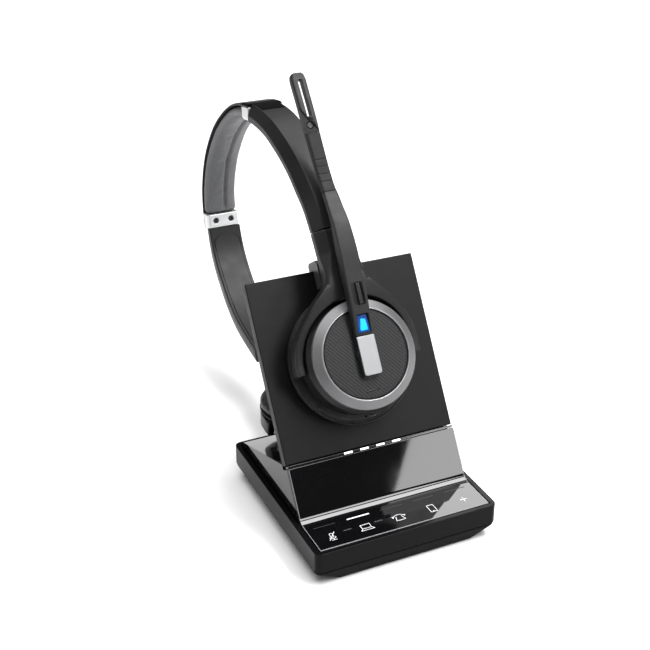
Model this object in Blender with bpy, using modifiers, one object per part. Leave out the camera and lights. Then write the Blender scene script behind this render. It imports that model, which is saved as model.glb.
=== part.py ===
"""Wireless office headset parked on its charging base station.

Metres, +Z up, +X to the right of the base, +Y to its back. The origin is under the middle of the
whole assembly, on the surface that the rubber feet stand on. Sizes below are in millimetres, and
mm() turns them into metres.

The base is laid out from its own front edge. The headset is laid out in the frame of the leaning
rest plate, whose Z runs up the plate and whose Y runs into it. Each ear cup, with its yoke, has a
frame on its tilt axis: X across, Y towards the headband and Z away from the head.
"""
import math

import bmesh
import bpy
from mathutils import Matrix, Vector

# ---- Driving dimensions, in millimetres and degrees ----
BOX_CENTRE_Y = 117.71         # middle of the whole assembly, from the tray's front edge
GAP = 0.3                     # between pieces that rest on each other
WALL = 2.0

TRAY_WIDTH, TRAY_FRONT, TRAY_BACK = 93.4, -0.8, 100.4
TRAY_TOP, TRAY_SKIRT, TRAY_RIM, TRAY_CORNER = 17.7, 7.4, 2.7, 3.0
TUB_BOTTOM, TUB_INSET_X, TUB_INSET_Y = 0.6, 10.0, 1.6
FOOT_RADIUS, FOOT_HEIGHT = 5.0, 1.6
HOUSING_WIDTH = 87.4

PANEL_WIDTH, PANEL_THICKNESS = 87.4, 1.3
PANEL_FRONT_Y, PANEL_TOP_Z = 1.7, 17.75
FASCIA_TOP_Y, FASCIA_TOP_Z = 37.1, 39.4
FOLD_RADIUS = 6.0

PLATE_LEAN = 32.27
PLATE_FOOT_Y, PLATE_FOOT_Z = 39.18, 39.98
PLATE_WIDTH, PLATE_LENGTH, PLATE_THICKNESS = 87.6, 86.0, 4.9
DOCK_HALF_WIDTH = 6.6

HEADSET_X = -2.4              # middle of the headset, left of the base's middle
PAD_RADIUS, PAD_HOLE = 31.8, 13.0
PAD_FACE, PAD_BACK = -12.2, -5.4
SHELL_RADIUS, SHELL_BACK = 27.0, -5.1
RING_RADIUS, BUTTON_RADIUS = 25.5, 20.6
FRONT_CUP_UP, FRONT_CUP_OUT = 42.0, 12.5        # tilt axis: up the plate, and out from it
REAR_CUP_UP, REAR_CUP_OUT = 19.0, -47.1
REAR_YOKE_TURN, REAR_CUP_TILT = 54.2, 11.8      # the rear yoke's turn, and its cup's tilt in it

FORK_INNER, FORK_OUTER, FORK_HALF = 27.6, 31.4, 3.8
STEM_HALF_WIDTH, STEM_LENGTH, STEM_RISE, STEM_LEAN = 9.5, 59.9, 7.0, 0.09
REAR_EXTENSION = 7.3          # how far the rear slide stands open
STRIP_WIDTH, STRIP_THICKNESS, STRIP_ROOT = 9.0, 1.2, 8.0
FRONT_STRIP_REACH, REAR_STRIP_REACH = 20.0, 8.0

# The headband's outer line from the front seam over the head to the rear seam, (up, out).
BAND_LINE = [(102.3, 21.1), (114.5, 19.9), (125.5, 16.4), (137.0, 11.4), (151.0, 2.4),
             (164.6, -10.0), (176.6, -28.4), (183.8, -48.8), (185.4, -68.0), (182.0, -92.2),
             (170.8, -118.0), (152.5, -136.8), (128.0, -145.0), (103.5, -143.0),
             (76.5, -131.4), (52.6, -107.3)]
FRONT_BRACKET, REAR_BRACKET = (94.0, 103.0), (221.0, 230.0)     # lengths along that line
BAND_COVER_THICKNESS = 1.2

# The boom's front face as (up from the cup's axis, out from it, thickness, width).
BOOM_ROOT = [(-10.8, 14.2, 1.3, 7.4), (-9.8, 14.2, 1.3, 9.0), (8.6, 14.2, 1.3, 9.0),
             (8.7, 15.4, 2.5, 9.0), (18.0, 16.9, 4.0, 9.0), (24.0, 17.8, 4.9, 9.0),
             (36.0, 18.5, 5.3, 9.0), (46.0, 19.0, 5.4, 9.0), (54.0, 18.7, 4.6, 8.7),
             (61.0, 18.0, 3.3, 8.2), (66.0, 16.6, 2.8, 7.8), (70.0, 15.3, 2.8, 7.3),
             (76.0, 13.7, 2.9, 6.7)]
BOOM_SLEEVE = [(76.3, 13.6, 3.2, 6.6), (80.0, 12.8, 3.2, 6.5), (88.0, 11.6, 3.2, 6.6),
               (96.0, 10.9, 3.3, 6.7), (104.4, 10.2, 3.5, 6.9)]
BOOM_TIP = [(104.7, 10.2, 3.8, 7.0), (112.0, 9.7, 3.8, 7.2), (122.0, 8.8, 3.8, 7.2),
            (131.0, 7.8, 3.8, 7.2), (133.4, 7.5, 3.6, 6.2), (134.2, 7.4, 3.4, 4.6)]
BOOM_HUB_RADIUS = 5.0

STEPS = 40                    # facets round a turned piece

FINISHES = {                  # colour, roughness, metallic
    "gloss_black": ((0.010, 0.010, 0.012), 0.12, 0.0),
    "satin_black": ((0.020, 0.020, 0.021), 0.35, 0.0),
    "soft_black": ((0.022, 0.022, 0.023), 0.62, 0.0),
    "arm_grey": ((0.035, 0.035, 0.037), 0.55, 0.0),
    "leatherette": ((0.010, 0.010, 0.010), 0.65, 0.0),
    "pad_grey": ((0.13, 0.13, 0.13), 0.75, 0.0),
    "silver": ((0.45, 0.45, 0.46), 0.35, 1.0),
    "bright_steel": ((0.75, 0.75, 0.76), 0.25, 1.0),
    "dark_steel": ((0.12, 0.12, 0.12), 0.40, 1.0),
    "gold": ((0.85, 0.62, 0.25), 0.25, 1.0),
    "rubber": ((0.018, 0.018, 0.018), 0.85, 0.0),
    "board_green": ((0.02, 0.10, 0.05), 0.55, 0.0),
    "cell_foil": ((0.30, 0.32, 0.36), 0.45, 0.3),
    "light_white": ((0.90, 0.90, 0.90), 0.30, 0.0),
    "light_blue": ((0.02, 0.25, 0.90), 0.20, 0.0),
}


def mm(*values):
    """Millimetres to metres: one number, or a Vector of several."""
    scaled = [value * 0.001 for value in values]
    return scaled[0] if len(scaled) == 1 else Vector(scaled)


# ---- Scene ----
for old in list(bpy.data.objects):
    bpy.data.objects.remove(old, do_unlink=True)
parts = bpy.data.collections.new("office_headset")
cutters = bpy.data.collections.new("cutters")
for collection in (parts, cutters):
    bpy.context.scene.collection.children.link(collection)


def finish_material(finish):
    """The named finish as a Principled material, made once."""
    if finish in bpy.data.materials:
        return bpy.data.materials[finish]
    colour, roughness, metallic = FINISHES[finish]
    made = bpy.data.materials.new(finish)
    made.use_nodes = True
    shader = made.node_tree.nodes["Principled BSDF"]
    shader.inputs["Base Color"].default_value = (*colour, 1.0)
    shader.inputs["Roughness"].default_value = roughness
    shader.inputs["Metallic"].default_value = metallic
    return made


def frame_empty(name, location, rotation, parent):
    """An empty that carries a frame."""
    empty = bpy.data.objects.new(name, None)
    empty.empty_display_size = mm(8)
    empty.location, empty.rotation_euler = location, rotation
    empty.parent = parent
    parts.objects.link(empty)
    return empty


def place(piece, name, parent, finish):
    """Name a piece, put it in its frame and give it its material; no finish makes it a cutter."""
    piece.name = name
    piece.parent = parent
    for holder in list(piece.users_collection):
        holder.objects.unlink(piece)
    if finish:
        piece.data.materials.append(finish_material(finish))
        parts.objects.link(piece)
    else:
        cutters.objects.link(piece)
        piece.hide_render = True
        piece.display_type = "WIRE"
    return piece


def box(name, size, centre, parent, finish, bevel=0.0, turn=(0.0, 0.0, 0.0)):
    """A block of the given size, with its edges bevelled."""
    bpy.ops.mesh.primitive_cube_add(size=1.0)
    piece = bpy.context.object
    piece.data.transform(Matrix.Diagonal((*mm(*size), 1.0)))
    piece.location, piece.rotation_euler = mm(*centre), turn
    if bevel:
        rounding = piece.modifiers.new("edges", "BEVEL")
        rounding.width, rounding.segments = mm(bevel), 1
    return place(piece, name, parent, finish)


def cylinder(name, radius, start, end, parent, finish, sides=20):
    """A round bar between two points."""
    start, end = mm(*start), mm(*end)
    bpy.ops.mesh.primitive_cylinder_add(radius=mm(radius), depth=(end - start).length, vertices=sides)
    piece = bpy.context.object
    piece.location = (start + end) / 2
    piece.rotation_euler = (end - start).to_track_quat("Z", "Y").to_euler()
    return place(piece, name, parent, finish)


def turned(name, profile, parent, finish, closed=True, steps=STEPS):
    """A profile of (radius, height), running down its outer side, turned about Z."""
    points = [mm(radius, 0.0, height) for radius, height in profile]
    edges = [(i, i + 1) for i in range(len(points) - 1)]
    if closed:
        edges.append((len(points) - 1, 0))
    mesh = bpy.data.meshes.new(name)
    mesh.from_pydata(points, edges, [])
    piece = bpy.data.objects.new(name, mesh)
    screw = piece.modifiers.new("turn", "SCREW")
    screw.steps = screw.render_steps = steps
    screw.use_merge_vertices = True
    screw.merge_threshold = 0.00001
    return place(piece, name, parent, finish)


def arc(radius, start, end, count, centre=(0.0, 0.0)):
    """Points along an arc, from one angle to another in degrees."""
    angles = [math.radians(start + (end - start) * i / (count - 1)) for i in range(count)]
    return [(centre[0] + radius * math.cos(a), centre[1] + radius * math.sin(a)) for a in angles]


def rounded_outline(left, right, low, high, radius, count=4):
    """A rectangle with round corners, clockwise from its top left."""
    return (arc(radius, 180, 90, count, (left + radius, high - radius))
            + arc(radius, 90, 0, count, (right - radius, high - radius))
            + arc(radius, 0, -90, count, (right - radius, low + radius))
            + arc(radius, -90, -180, count, (left + radius, low + radius)))


def slab(name, outlines, low, high, parent, finish, bevel=0.0):
    """Flat outlines (the first one solid, the others holes) filled from Z low to Z high."""
    curve = bpy.data.curves.new(name, "CURVE")
    curve.dimensions = "2D"
    curve.fill_mode = "BOTH"
    curve.extrude = mm(high - low) / 2
    for outline in outlines:
        spline = curve.splines.new("POLY")
        spline.points.add(len(outline) - 1)
        for point, (x, y) in zip(spline.points, outline):
            point.co = (*mm(x, y, 0.0), 1.0)
        spline.use_cyclic_u = True
    flat = bpy.data.objects.new(name + "_outline", curve)
    bpy.context.scene.collection.objects.link(flat)
    evaluated = flat.evaluated_get(bpy.context.evaluated_depsgraph_get())
    mesh = bpy.data.meshes.new_from_object(evaluated)
    bpy.data.objects.remove(flat, do_unlink=True)
    mesh.transform(Matrix.Translation(mm(0.0, 0.0, (low + high) / 2)))
    solid = bmesh.new()
    solid.from_mesh(mesh)
    bmesh.ops.remove_doubles(solid, verts=solid.verts, dist=1e-7)
    bmesh.ops.recalc_face_normals(solid, faces=solid.faces)
    solid.to_mesh(mesh)
    solid.free()
    piece = bpy.data.objects.new(name, mesh)
    if bevel:
        rounding = piece.modifiers.new("edges", "BEVEL")
        rounding.width, rounding.segments = mm(bevel), 1
        rounding.angle_limit = math.radians(50)
    return place(piece, name, parent, finish)


def loft(name, sections, parent, finish):
    """A solid through sections that each have the same number of points."""
    solid = bmesh.new()
    rings = [[solid.verts.new(mm(*point)) for point in section] for section in sections]
    for ring, following in zip(rings, rings[1:]):
        for i in range(len(ring)):
            j = (i + 1) % len(ring)
            solid.faces.new((ring[i], ring[j], following[j], following[i]))
    solid.faces.new(rings[0])
    solid.faces.new(rings[-1])
    bmesh.ops.recalc_face_normals(solid, faces=solid.faces)
    mesh = bpy.data.meshes.new(name)
    solid.to_mesh(mesh)
    solid.free()
    return place(bpy.data.objects.new(name, mesh), name, parent, finish)


def combine(piece, other, operation="DIFFERENCE"):
    """Cut a piece with another, or join the other to it."""
    boolean = piece.modifiers.new(other.name, "BOOLEAN")
    boolean.operation = operation
    boolean.object = other


def smoothstep(x):
    """0 to 1 with level ends."""
    x = min(max(x, 0.0), 1.0)
    return x * x * (3 - 2 * x)


# ---- Frames ----
assembly = frame_empty("assembly", mm(0.0, -BOX_CENTRE_Y, 0.0), (0, 0, 0), None)
QUARTER = math.pi / 2
side_view = frame_empty("base_side", mm(0, 0, 0), (QUARTER, 0, QUARTER), assembly)
plate = frame_empty("plate_frame", mm(0.0, PLATE_FOOT_Y, PLATE_FOOT_Z),
                    (-math.radians(PLATE_LEAN), 0, 0), assembly)
plate_side = frame_empty("plate_side", mm(0, 0, 0), (QUARTER, 0, QUARTER), plate)
front_axis = frame_empty("front_cup_axis", mm(HEADSET_X, -FRONT_CUP_OUT, FRONT_CUP_UP),
                         (QUARTER, 0, 0), plate)
turn = math.radians(REAR_YOKE_TURN)
rear_turn = Matrix(((-1, 0, 0), (0, math.sin(turn), math.cos(turn)),
                    (0, math.cos(turn), -math.sin(turn)))).to_euler()
rear_axis = frame_empty("rear_yoke_axis", mm(HEADSET_X, -REAR_CUP_OUT, REAR_CUP_UP),
                        rear_turn, plate)
rear_cup = frame_empty("rear_cup_axis", mm(0, 0, 0), (math.radians(REAR_CUP_TILT), 0, 0), rear_axis)


# ---- Base station ----
def fold_line(offset, trim=0.0, count=6):
    """The panel's side line, set in by offset: flat, folded and up the leaning fascia."""
    lean = math.radians(PLATE_LEAN)
    up, back = (math.sin(lean), math.cos(lean)), (math.cos(lean), -math.sin(lean))
    flat_z = PANEL_TOP_Z - offset
    top = (FASCIA_TOP_Y + offset * back[0] - trim * up[0],
           FASCIA_TOP_Z + offset * back[1] - trim * up[1])
    radius = FOLD_RADIUS + offset
    corner_y = top[0] - (top[1] - flat_z) * math.tan(lean)
    tangent = radius * math.tan((QUARTER - lean) / 2)
    fold = arc(radius, -90, -PLATE_LEAN, count, (corner_y - tangent, flat_z + radius))
    return fold + [top]


def tub_section(inset, height, wall=0.0):
    """A level outline of the tub at a height, set in from the tray's outline."""
    half = TRAY_WIDTH / 2 - inset * TUB_INSET_X - GAP - wall
    edge = inset * TUB_INSET_Y + GAP + wall
    outline = rounded_outline(-half, half, TRAY_FRONT + edge, TRAY_BACK - edge, TRAY_CORNER)
    return [(x, y, height) for x, y in outline]


def make_tray():
    """Rim, tub, ballast, feet and the boards inside."""
    half = TRAY_WIDTH / 2
    inner = half - TRAY_RIM
    rim = slab("base_tray", [rounded_outline(-half, half, TRAY_FRONT, TRAY_BACK, TRAY_CORNER),
                             rounded_outline(-inner, inner, PANEL_FRONT_Y - GAP, TRAY_BACK - TRAY_RIM, 0.3)],
               TRAY_SKIRT, TRAY_TOP, assembly, "gloss_black")
    tub = loft("bottom_cover", [tub_section(0.0, TRAY_SKIRT - GAP), tub_section(0.0, TRAY_SKIRT - 1.2),
                                tub_section(1.0, TUB_BOTTOM)], assembly, "satin_black")
    combine(tub, loft("tub_cavity", [tub_section(0.05, TRAY_SKIRT + 1, WALL),
                                     tub_section(0.9, FOOT_HEIGHT + GAP + 0.8, WALL)], assembly, None))
    middle = (TRAY_FRONT + TRAY_BACK) / 2
    box("ballast_plate", (60, 76, 3.0), (0, middle, 4.4), assembly, "dark_steel", 0.4)
    for number, (x, y) in enumerate(((-27, 13), (27, 13), (-27, 87), (27, 87)), 1):
        cylinder(f"rubber_foot_{number}", FOOT_RADIUS, (x, y, 0), (x, y, FOOT_HEIGHT), assembly, "rubber")
        combine(tub, cylinder(f"foot_pocket_{number}", FOOT_RADIUS + GAP, (x, y, -1),
                              (x, y, FOOT_HEIGHT + GAP), assembly, None))
    box("main_board", (76, 74, 1.2), (0, 44, 10.2), assembly, "board_green")
    cylinder("ringer_speaker", 12.0, (20, 60, 12.5), (20, 60, 18.0), assembly, "dark_steel", 24)
    return rim


def make_housing():
    """The wedge behind the fascia, with its trough for the plate."""
    lean = math.radians(PLATE_LEAN)

    def on_plate(up, out):
        return (PLATE_FOOT_Y + up * math.sin(lean) - out * math.cos(lean),
                PLATE_FOOT_Z + up * math.cos(lean) + out * math.sin(lean))

    back = TRAY_BACK - TRAY_RIM - GAP
    outline = ([(PANEL_FRONT_Y, 8.0), (PANEL_FRONT_Y, PANEL_TOP_Z - PANEL_THICKNESS - GAP)]
               + fold_line(PANEL_THICKNESS + GAP)
               + [on_plate(-1.7, -0.3), on_plate(-1.7, -PLATE_THICKNESS - GAP),
                  on_plate(0.9, -PLATE_THICKNESS - GAP), (94.0, 21.0), (96.2, 19.6), (back, 17.0),
                  (back, 8.0)])
    housing = slab("wedge_housing", [outline], -HOUSING_WIDTH / 2, HOUSING_WIDTH / 2, side_view,
                   "gloss_black")
    inside = ([(PANEL_FRONT_Y + WALL, 6.0), (PANEL_FRONT_Y + WALL, 14.0)] + fold_line(3.8, 4.0)
              + [(44.9, 33.6), (93.0, 18.6), (back - WALL, 16.0), (back - WALL, 6.0)])
    combine(housing, slab("housing_cavity", [inside], -HOUSING_WIDTH / 2 + WALL,
                          HOUSING_WIDTH / 2 - WALL, side_view, None))
    combine(housing, box("tongue_slot", (60.8, 2.8, 20), (0, 3.9, -3), plate, None))
    sheet = fold_line(0.0) + fold_line(PANEL_THICKNESS)[::-1]
    flat = [(PANEL_FRONT_Y, PANEL_TOP_Z - PANEL_THICKNESS), (PANEL_FRONT_Y, PANEL_TOP_Z)]
    slab("touch_panel", [sheet + flat], -PANEL_WIDTH / 2, PANEL_WIDTH / 2, side_view, "gloss_black")
    box("light_bar", (86.6, 3.3, 1.1), (0, 0.45, -0.85), plate, "light_white")
    return housing


def make_sockets(rim, housing):
    """Inlets at the back, each in an opening through the rim and the housing."""
    back, low = TRAY_BACK - 0.4, 8.3
    sockets = (("power_socket", -28, 9.0, 7.6), ("usb_socket_left", -10, 9.4, 4.2),
               ("usb_socket_right", 6, 9.4, 4.2), ("phone_socket", 25, 12.6, 8.2))
    for name, x, width, height in sockets:
        body = box(name, (width, 14, height), (x, back - 7, low + height / 2), assembly, "satin_black")
        if name == "power_socket":
            mouth = cylinder(name + "_mouth", 2.75, (x, back - 9, low + height / 2),
                             (x, back + 2, low + height / 2), assembly, None)
        elif name == "phone_socket":
            mouth = box(name + "_mouth", (9.8, 12, 6.0), (x, back - 4, low + height / 2), assembly, None)
        else:
            mouth = box(name + "_mouth", (7.4, 8, 2.2), (x, back - 2, low + height / 2), assembly, None)
        combine(body, mouth)
        opening = box(name + "_opening", (width + 2 * GAP, 24, height + 2 * GAP + 3),
                      (x, back - 3, low + height / 2 - 1.5), assembly, None)
        combine(rim, opening)
        combine(housing, opening)


def make_plate():
    """Rest plate with its tongue and back cover, and the dock at its top."""
    rest = box("rest_plate", (PLATE_WIDTH, PLATE_THICKNESS, PLATE_LENGTH),
               (0, PLATE_THICKNESS / 2, PLATE_LENGTH / 2), plate, "soft_black")
    combine(rest, box("plate_tongue", (60, 2.0, 16), (0, 3.9, -4), plate, None), "UNION")
    combine(rest, box("cover_pocket", (76.6, 2.0, 72.6), (0, PLATE_THICKNESS, 44), plate, None))
    box("plate_back_cover", (76, 1.0, 72), (0, PLATE_THICKNESS - 0.2, 44), plate, "soft_black", 0.3)
    top = PLATE_LENGTH + GAP
    outline = [(-6.5, 77), (-GAP, 77), (-GAP, top), (PLATE_THICKNESS, top),
               (PLATE_THICKNESS, top + 2.6), (PLATE_THICKNESS - 1.4, top + 4), (-4.5, top + 4), (-6.5, 88.4)]
    dock = slab("dock_block", [outline], HEADSET_X - DOCK_HALF_WIDTH, HEADSET_X + DOCK_HALF_WIDTH, plate_side, "arm_grey")
    combine(dock, box("dock_nose", (9.0, 9.0, 5.0), (HEADSET_X, -8.0, 82.5), plate, None), "UNION")
    for side, name in ((-1, "charge_pin_left"), (1, "charge_pin_right")):
        x = HEADSET_X + side * 2.4
        combine(dock, cylinder(name + "_bore", 0.9, (x, -14, 82.5), (x, -5, 82.5), plate, None, 12))
        cylinder(name, 0.6, (x, -13.1, 82.5), (x, -5.4, 82.5), plate, "gold", 12)
    magnet = (HEADSET_X, -2.8, 80.4)
    combine(dock, box("magnet_pocket", (8.6, 7.0, 4.0), (HEADSET_X, -1.6, 80.4), plate, None))
    box("dock_magnet", (8, 4.4, 3.4), magnet, plate, "dark_steel", 0.3)


# ---- Ear cups, each in the frame on its tilt axis ----
def make_pad(name, axis):
    """Padded ring that rests on the ear."""
    section = rounded_outline(PAD_HOLE, PAD_RADIUS, PAD_FACE, PAD_BACK, 2.8)
    turned(name, section, axis, "leatherette")


def make_speaker(name, axis, rear):
    """Driver with its cloth-covered face, behind the hole in the pad."""
    face, waist = PAD_FACE + 3.6, -2.5
    turned(name, [(0, rear), (9, rear), (9, waist), (12.6, waist), (12.6, face), (0, face)], axis,
           "rubber", closed=False)


def make_pins(side, axis, shell, yoke):
    """Tilt pins through the fork's ends into the shell's wall."""
    for sign, end in ((-1, "left"), (1, "right")):
        inner, outer = sign * (FORK_INNER - 3.0), sign * (FORK_OUTER - 0.4)
        bore = cylinder(f"{side}_{end}_bore", 1.8, (inner * 0.95, 0, 0), (outer * 1.1, 0, 0), axis, None, 14)
        combine(shell, bore)
        combine(yoke, bore)
        cylinder(f"{side}_pivot_pin_{end}", 1.5, (inner, 0, 0), (outer, 0, 0), axis, "bright_steel", 14)


def make_front_cup(yoke):
    """Cup on the front of the plate: call button, silver ring, board and cell."""
    make_pad("front_ear_pad", front_axis)
    make_speaker("front_speaker", front_axis, 1.0)
    shell = turned("front_cup_shell",
                   [(24.8, 8.0), (SHELL_RADIUS, 5.4), (SHELL_RADIUS, SHELL_BACK), (13.2, SHELL_BACK),
                    (13.2, -3.6), (25.4, -3.6), (25.4, 4.8), (23.4, 6.4), (5.5, 6.4), (5.5, 8.0)],
                   front_axis, "satin_black")
    turned("front_cup_ring",
           [(21.9, 12.2), (RING_RADIUS, 10.0), (RING_RADIUS, 8.3), (21.0, 8.3), (21.0, 12.2)],
           front_axis, "silver")
    turned("call_button", [(BUTTON_RADIUS, 11.5), (BUTTON_RADIUS, 10.1), (5.5, 10.1), (5.5, 11.5)],
           front_axis, "soft_black")
    box("power_switch", (4.6, 1.0, 2.6), (-1.2, -27.9, 3.0), front_axis, "satin_black")
    turned("headset_board", [(0, 3.6), (20, 3.6), (20, 2.4), (0, 2.4)], front_axis, "board_green",
           closed=False, steps=24)
    box("battery", (22, 7.6, 4.2), (0, -18.4, -1.1), front_axis, "cell_foil", 0.4)
    make_pins("front", front_axis, shell, yoke)


def make_rear_cup(yoke):
    """Plain, thinner cup behind the plate."""
    make_pad("rear_ear_pad", rear_cup)
    make_speaker("rear_speaker", rear_cup, -0.2)
    shell = turned("rear_cup_shell",
                   [(22.0, 2.2), (SHELL_RADIUS, 1.9), (SHELL_RADIUS, SHELL_BACK), (13.2, SHELL_BACK),
                    (13.2, -3.6), (25.4, -3.6), (25.4, 0.5), (4.0, 0.5), (4.0, 2.2)],
                   rear_cup, "satin_black")
    turned("rear_cup_cap", [(0, 3.2), (18.0, 3.2), (20.0, 2.5), (0, 2.5)], rear_cup, "soft_black",
           closed=False)
    make_pins("rear", rear_axis, shell, yoke)


# ---- Yokes and headband ----
def stem_rise(y):
    """How far the yoke's middle stands out at a height above the tilt axis."""
    return STEM_RISE * smoothstep(y / 34.0) - STEM_LEAN * max(0.0, y - 36.0)


def make_yoke(name, axis):
    """Fork round the cup, with a stem up to the headband's seam."""
    half, shoulder = STEM_HALF_WIDTH, 36.5
    outline = (arc(FORK_INNER, -7, 187, 25) + arc(FORK_OUTER, 187, 138, 7)
               + [(-14.6, 30.6), (-half, shoulder), (-half, 45.0), (-half, 52.0), (-half, STEM_LENGTH)]
               + [(half, STEM_LENGTH), (half, 52.0), (half, 45.0), (half, shoulder), (14.6, 30.6)]
               + arc(FORK_OUTER, 42, -7, 7))
    yoke = slab(name, [outline], -FORK_HALF, FORK_HALF, axis, "arm_grey")
    for vertex in yoke.data.vertices:
        vertex.co.z += mm(stem_rise(vertex.co.y * 1000))
    return yoke


def make_strip(side, axis, opened, reach, yoke, arm):
    """Steel strip fast in the stem. The arm slides on it, and its slot is deep enough to close."""
    lean = math.atan(STEM_LEAN)
    direction = Vector((0, math.cos(lean), -math.sin(lean)))
    seam = Vector((0, STEM_LENGTH, stem_rise(STEM_LENGTH)))

    def bar(name, tip, root, extra, finish):
        middle = seam + direction * ((tip - root) / 2)
        return box(name, (STRIP_WIDTH + extra, tip + root, STRIP_THICKNESS + extra), middle, axis,
                   finish, turn=(-lean, 0, 0))

    bar(f"{side}_slide_strip", opened + reach, STRIP_ROOT, 0.0, "bright_steel")
    combine(yoke, bar(f"{side}_stem_slot", opened + reach, STRIP_ROOT + 0.6, 0.8, None))
    combine(arm, bar(f"{side}_arm_slot", 2 * opened + reach + 0.6, STRIP_ROOT, 0.8, None))


def band_points(count=160):
    """The headband's outer line, smooth through its points, at even lengths along it."""
    ends = [BAND_LINE[0]] + BAND_LINE + [BAND_LINE[-1]]
    knots = [Vector(point) for point in ends]
    fine = []
    for a, b, c, d in zip(knots, knots[1:], knots[2:], knots[3:]):
        for i in range(24):
            t = i / 24
            fine.append(0.5 * (2 * b + (c - a) * t + (2 * a - 5 * b + 4 * c - d) * t * t
                               + (3 * b - a - 3 * c + d) * t ** 3))
    fine.append(knots[-1])
    lengths = [0.0]
    for here, following in zip(fine, fine[1:]):
        lengths.append(lengths[-1] + (following - here).length)
    even = []
    for i in range(count + 1):
        target = lengths[-1] * i / count
        j = max(k for k in range(len(fine) - 1) if lengths[k] <= target + 1e-9)
        share = (target - lengths[j]) / (lengths[j + 1] - lengths[j])
        even.append(fine[j].lerp(fine[j + 1], share))
    return even, lengths[-1]


BAND, BAND_LENGTH = band_points()


def band_at(distance):
    """Point and inward direction of the outer line at a length along it, as (up, out)."""
    place_on = min(max(distance / BAND_LENGTH, 0.0), 1.0) * (len(BAND) - 1)
    i = min(int(place_on), len(BAND) - 2)
    point = BAND[i].lerp(BAND[i + 1], place_on - i)
    low, high = max(i - 1, 0), min(i + 2, len(BAND) - 1)
    along = (BAND[high] - BAND[low]).normalized()
    return point, Vector((along.y, -along.x))


def arm_thickness(distance):
    """Thickness of the whole band at a length along it."""
    knots = [(0, 7.6), (25, 9.6), (60, 9.8), (90, 8.8), (135, 7.4), (180, 8.0), (222, 9.6),
             (270, 10.2), (300, 9.8), (BAND_LENGTH, 8.8)]
    for (a, low), (b, high) in zip(knots, knots[1:]):
        if distance <= b:
            return low + (high - low) * (distance - a) / (b - a)
    return knots[-1][1]


def band_piece(name, start, end, section, finish, step=9.0):
    """A solid along the band between two lengths; section gives (across, depth) points."""
    count = max(2, round((end - start) / step) + 1)
    sections = []
    for i in range(count):
        distance = start + (end - start) * i / (count - 1)
        point, inward = band_at(distance)
        ring = []
        for across, depth in section(distance):
            up, out = point + inward * depth
            ring.append((HEADSET_X + across, -out, up))
        sections.append(ring)
    return loft(name, sections, plate, finish)


def arm_section(distance):
    """Chamfered arm: narrow outer face, broad inner face."""
    thick = arm_thickness(distance)
    face = 5.2 + 1.8 * smoothstep((distance - 10) / 70) + 1.2 * smoothstep((distance - 200) / 60)
    return [(-face, 0), (face, 0), (9.5, thick - 3.4), (9.5, thick), (-9.5, thick), (-9.5, thick - 3.4)]


def cover_section(distance):
    """Thin spring cover over the pad."""
    return [(-8.2, 0), (8.2, 0), (9.2, 0.6), (9.2, BAND_COVER_THICKNESS), (-9.2, BAND_COVER_THICKNESS),
            (-9.2, 0.6)]


def pad_section(distance):
    """Crowned cushion under the cover."""
    top, thick = BAND_COVER_THICKNESS + GAP, arm_thickness(distance)
    return [(-8.8, top), (8.8, top), (9.4, thick - 2.6), (6.4, thick), (-6.4, thick), (-9.4, thick - 2.6)]


def bracket_section(distance):
    """Metal clamp between an arm and the cushion."""
    top, thick = BAND_COVER_THICKNESS + GAP, arm_thickness(distance)
    return [(-9.2, top), (9.2, top), (9.5, thick - 1.6), (8.6, thick - 0.2), (-8.6, thick - 0.2),
            (-9.5, thick - 1.6)]


def make_bracket(side, span):
    """Clamp with two screws driven from the inside."""
    bracket = band_piece(f"{side}_bracket", *span, bracket_section, "bright_steel", 4.5)
    middle = sum(span) / 2
    point, inward = band_at(middle)
    for sign, name in ((-1, "left"), (1, "right")):
        def spot(depth):
            up, out = point + inward * depth
            return (HEADSET_X + sign * 4.6, -out, up)
        thick = arm_thickness(middle)
        bore = cylinder(f"{side}_{name}_screw_bore", 1.7, spot(thick - 4), spot(thick + 3), plate, None, 12)
        combine(bracket, bore)
        cylinder(f"{side}_bracket_screw_{name}", 1.4, spot(thick - 3.6), spot(thick - 0.9), plate,
                 "dark_steel", 12)


def make_headband():
    """Two arms, the spring cover with its cushion, and the clamps between them."""
    front = band_piece("front_arm", GAP, FRONT_BRACKET[0] - GAP, arm_section, "arm_grey")
    rear = band_piece("rear_arm", REAR_BRACKET[1] + GAP, BAND_LENGTH - GAP, arm_section, "arm_grey")
    band_piece("band_cover", FRONT_BRACKET[0], REAR_BRACKET[1], cover_section, "satin_black")
    band_piece("headband_pad", FRONT_BRACKET[1] + 2 * GAP, REAR_BRACKET[0] - 2 * GAP, pad_section, "pad_grey")
    make_bracket("front", FRONT_BRACKET)
    make_bracket("rear", REAR_BRACKET)
    return front, rear


# ---- Microphone boom ----
def boom_piece(name, stations, finish, chamfer=0.8):
    """A strip through stations of (up, front, thickness, width)."""
    sections = []
    for y, front, thickness, width in stations:
        half = width / 2
        sections.append([(-half, y, front - thickness), (half, y, front - thickness),
                         (half, y, front - chamfer), (half - chamfer, y, front),
                         (chamfer - half, y, front), (-half, y, front - chamfer)])
    return loft(name, sections, front_axis, finish)


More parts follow.
